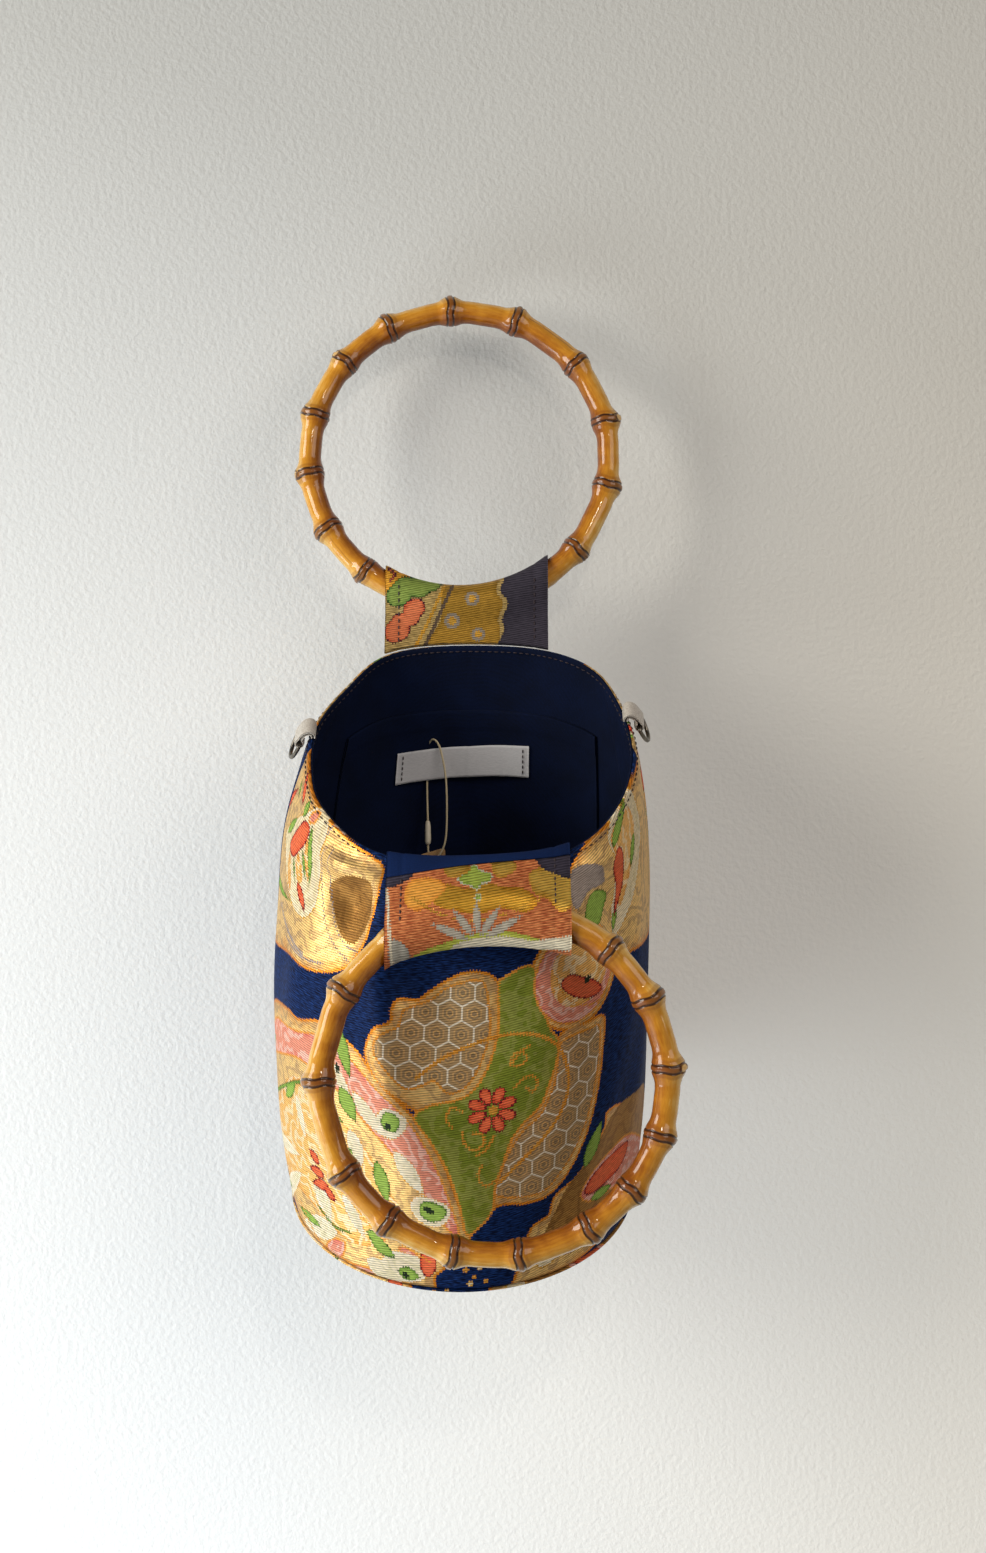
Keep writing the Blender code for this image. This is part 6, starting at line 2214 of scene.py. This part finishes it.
@dataclass(frozen=True)
class Studio:
    """The wall behind the bag, a floor out of sight and soft daylight from the left."""

    wall_y: float = 0.0275
    wall_half: float = 1.3
    floor_z: float = -0.75
    wall_colours: tuple[str, str] = ("#CFD1D0", "#DDDFDE")
    # Painted shade: the colour the wall darkens to at its top
    wall_painted_shade: str = "#B4B5B2"
    # Painted light: the warmer colour the wall and its glow turn to toward the right
    wall_painted_warm: str = "#E0DDD4"
    # Painted light: the cool colour of the wall's glow
    wall_painted_glow: str = "#F4F9FF"
    world: str = "#5C5E61"

    def build(self) -> None:
        """Add the wall, the floor, the lamps and the sky."""
        wall = self.add_plane(
            "wall", [(-1, 0, -0.6), (1, 0, -0.6), (1, 0, 1), (-1, 0, 1)], (0.0155, self.wall_y, 0.0), self.wall_material()
        )
        floor = self.add_plane(
            "floor", [(-1, -1, 0), (1, -1, 0), (1, 1, 0), (-1, 1, 0)], (0.0, 0.0, self.floor_z), self.wall_material()
        )
        lamps = [
            self.add_lamp("window_left", (-1.40, -0.78, 0.20), 0.80, 0.90, 21.0, "#FFFAF0"),
            self.add_lamp("window_low", (-0.95, -0.50, -0.90), 0.70, 0.70, 10.0, "#F2FAFF"),
            self.add_lamp("room_right", (1.20, -1.40, 0.45), 1.20, 1.20, 12.0, "#FFF3E8"),
            self.add_lamp("small_lamp", (0.30, -1.60, 0.55), 0.10, 0.10, 2.2, "#FFF4E4"),
        ]
        world = bpy.data.worlds.new("room")
        world.use_nodes = True
        world.node_tree.nodes["Background"].inputs[0].default_value = linear(self.world)
        bpy.context.scene.world = world
        bpy.context.scene.view_settings.view_transform = "Standard"

    def add_plane(self, name: str, corners: list, place: tuple, material: bpy.types.Material) -> bpy.types.Object:
        """Add a large flat piece of the room."""
        mesh = bpy.data.meshes.new(name)
        mesh.from_pydata([tuple(v * self.wall_half for v in corner) for corner in corners], [], [(0, 1, 2, 3)])
        plane = bpy.data.objects.new(name, mesh)
        mesh.materials.append(material)
        plane.location = place
        bpy.context.scene.collection.objects.link(plane)
        return plane

    def add_lamp(self, name: str, place: tuple, wide: float, tall: float, power: float, tint: str) -> bpy.types.Object:
        """Add a soft lamp that faces the bag."""
        data = bpy.data.lights.new(name, "AREA")
        data.shape = "RECTANGLE"
        data.size, data.size_y, data.energy = wide, tall, power
        data.color = linear(tint)[:3]
        lamp = bpy.data.objects.new(name, data)
        lamp.location = place
        aim = Vector((0.01, -0.08, -0.22)) - Vector(place)
        lamp.rotation_euler = aim.to_track_quat("-Z", "Y").to_euler()
        bpy.context.scene.collection.objects.link(lamp)
        return lamp

    def wall_material(self) -> bpy.types.Material:
        """Make the lightly textured plaster, which shows to the camera from its front alone, with painted shade at its
        top, painted warm light to the right and a painted glow.
        """
        material, tree, output = empty_material("plaster")
        place = add_node(tree, "ShaderNodeTexCoord").outputs["Object"]
        grain = add_node(
            tree, "ShaderNodeTexNoise", inputs={"Vector": place, "Scale": 380.0, "Detail": 3.0, "Roughness": 0.55}
        ).outputs["Fac"]
        colour = add_node(
            tree,
            "ShaderNodeMix",
            {"data_type": "RGBA"},
            {0: grain, 6: linear(self.wall_colours[0]), 7: linear(self.wall_colours[1])},
        ).outputs[2]
        bump = add_node(
            tree, "ShaderNodeBump", inputs={"Strength": 0.5, "Distance": 0.0012, "Height": grain}
        ).outputs[0]
        sides = add_node(tree, "ShaderNodeSeparateXYZ", inputs={0: place}).outputs
        # Painted light: the wall's colour turns warmer toward the right
        painted_warmth = add_node(
            tree, "ShaderNodeMapRange", {}, {0: sides["X"], 1: -0.12, 2: 0.22, 3: 0.0, 4: 0.85}
        ).outputs[0]
        colour = add_node(
            tree, "ShaderNodeMix", {"data_type": "RGBA"}, {0: painted_warmth, 6: colour, 7: linear(self.wall_painted_warm)}
        ).outputs[2]
        # Painted shade: the wall's colour darkens toward its top
        high = add_node(
            tree, "ShaderNodeMapRange", {}, {0: sides["Z"], 1: -0.20, 2: 0.20, 3: 0.0, 4: 0.6}
        ).outputs[0]
        colour = add_node(
            tree, "ShaderNodeMix", {"data_type": "RGBA"}, {0: high, 6: colour, 7: linear(self.wall_painted_shade)}
        ).outputs[2]
        # Painted light: the wall glows, lighter toward its foot and toward the window than these few lamps make it
        painted_glow = add_node(
            tree, "ShaderNodeMath", {"operation": "MULTIPLY_ADD"}, {0: sides["X"], 1: -0.20, 2: 0.04}
        ).outputs[0]
        painted_glow = add_node(
            tree, "ShaderNodeMath", {"operation": "MULTIPLY_ADD", "use_clamp": True}, {0: sides["Z"], 1: -0.56, 2: painted_glow}
        ).outputs[0]
        diffuse = add_node(tree, "ShaderNodeBsdfDiffuse", inputs={"Color": colour, "Normal": bump}).outputs[0]
        # The painted glow turns from cool at the left to warm at the right
        tint = add_node(
            tree,
            "ShaderNodeMix",
            {"data_type": "RGBA"},
            {0: painted_warmth, 6: linear(self.wall_painted_glow), 7: linear(self.wall_painted_warm)},
        ).outputs[2]
        emission = add_node(tree, "ShaderNodeEmission", inputs={"Color": tint, "Strength": painted_glow}).outputs[0]
        diffuse = add_node(tree, "ShaderNodeAddShader", inputs={0: diffuse, 1: emission}).outputs[0]
        rays = add_node(tree, "ShaderNodeLightPath").outputs
        seen = rays["Is Camera Ray"]
        for kind in ("Is Glossy Ray", "Is Transmission Ray"):
            seen = add_node(tree, "ShaderNodeMath", {"operation": "MAXIMUM"}, {0: seen, 1: rays[kind]}).outputs[0]
        behind = add_node(tree, "ShaderNodeNewGeometry").outputs["Backfacing"]
        front = add_node(tree, "ShaderNodeMath", {"operation": "SUBTRACT"}, {0: 1.0, 1: behind}).outputs[0]
        share = add_node(tree, "ShaderNodeMath", {"operation": "MULTIPLY"}, {0: seen, 1: front}).outputs[0]
        clear = add_node(tree, "ShaderNodeBsdfTransparent").outputs[0]
        mixed = add_node(tree, "ShaderNodeMixShader", inputs={0: share, 1: clear, 2: diffuse})
        tree.links.new(mixed.outputs[0], output.inputs[0])
        return material


def main() -> None:
    """Build the camera, the cord, the bag and the room."""
    logging.basicConfig(level=logging.INFO, format="%(name)s: %(message)s")
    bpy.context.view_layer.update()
    CAMERA.build()
    finishes = Finishes.make()
    HangTag().build(finishes)
    body = BodySheet(BODY_FIGURES + LOWER_LEFT_FIGURES)
    SHELL.add_outer(body, finishes)
    SHELL.add_lining(finishes)
    SHELL.add_bases(body, finishes)
    SHELL.add_rim_stitches(finishes)
    Pocket().build(finishes)
    REAR_CANE.build(finishes)
    FRONT_CANE.build(finishes)
    FRONT_TAB.build(FlatSheet(FRONT_TAB_FIGURES, y=-0.1560), finishes.front_tab, finishes)
    REAR_TAB.build(FlatSheet(REAR_TAB_FIGURES, y=-0.0300), finishes.rear_tab, finishes)
    for side, angle in (("left", math.radians(-97.0)), ("right", math.radians(105.0))):
        SideFitting(side, angle).build(finishes)
    Studio().build()
    bpy.context.view_layer.update()


if __name__ == "__main__":
    main()
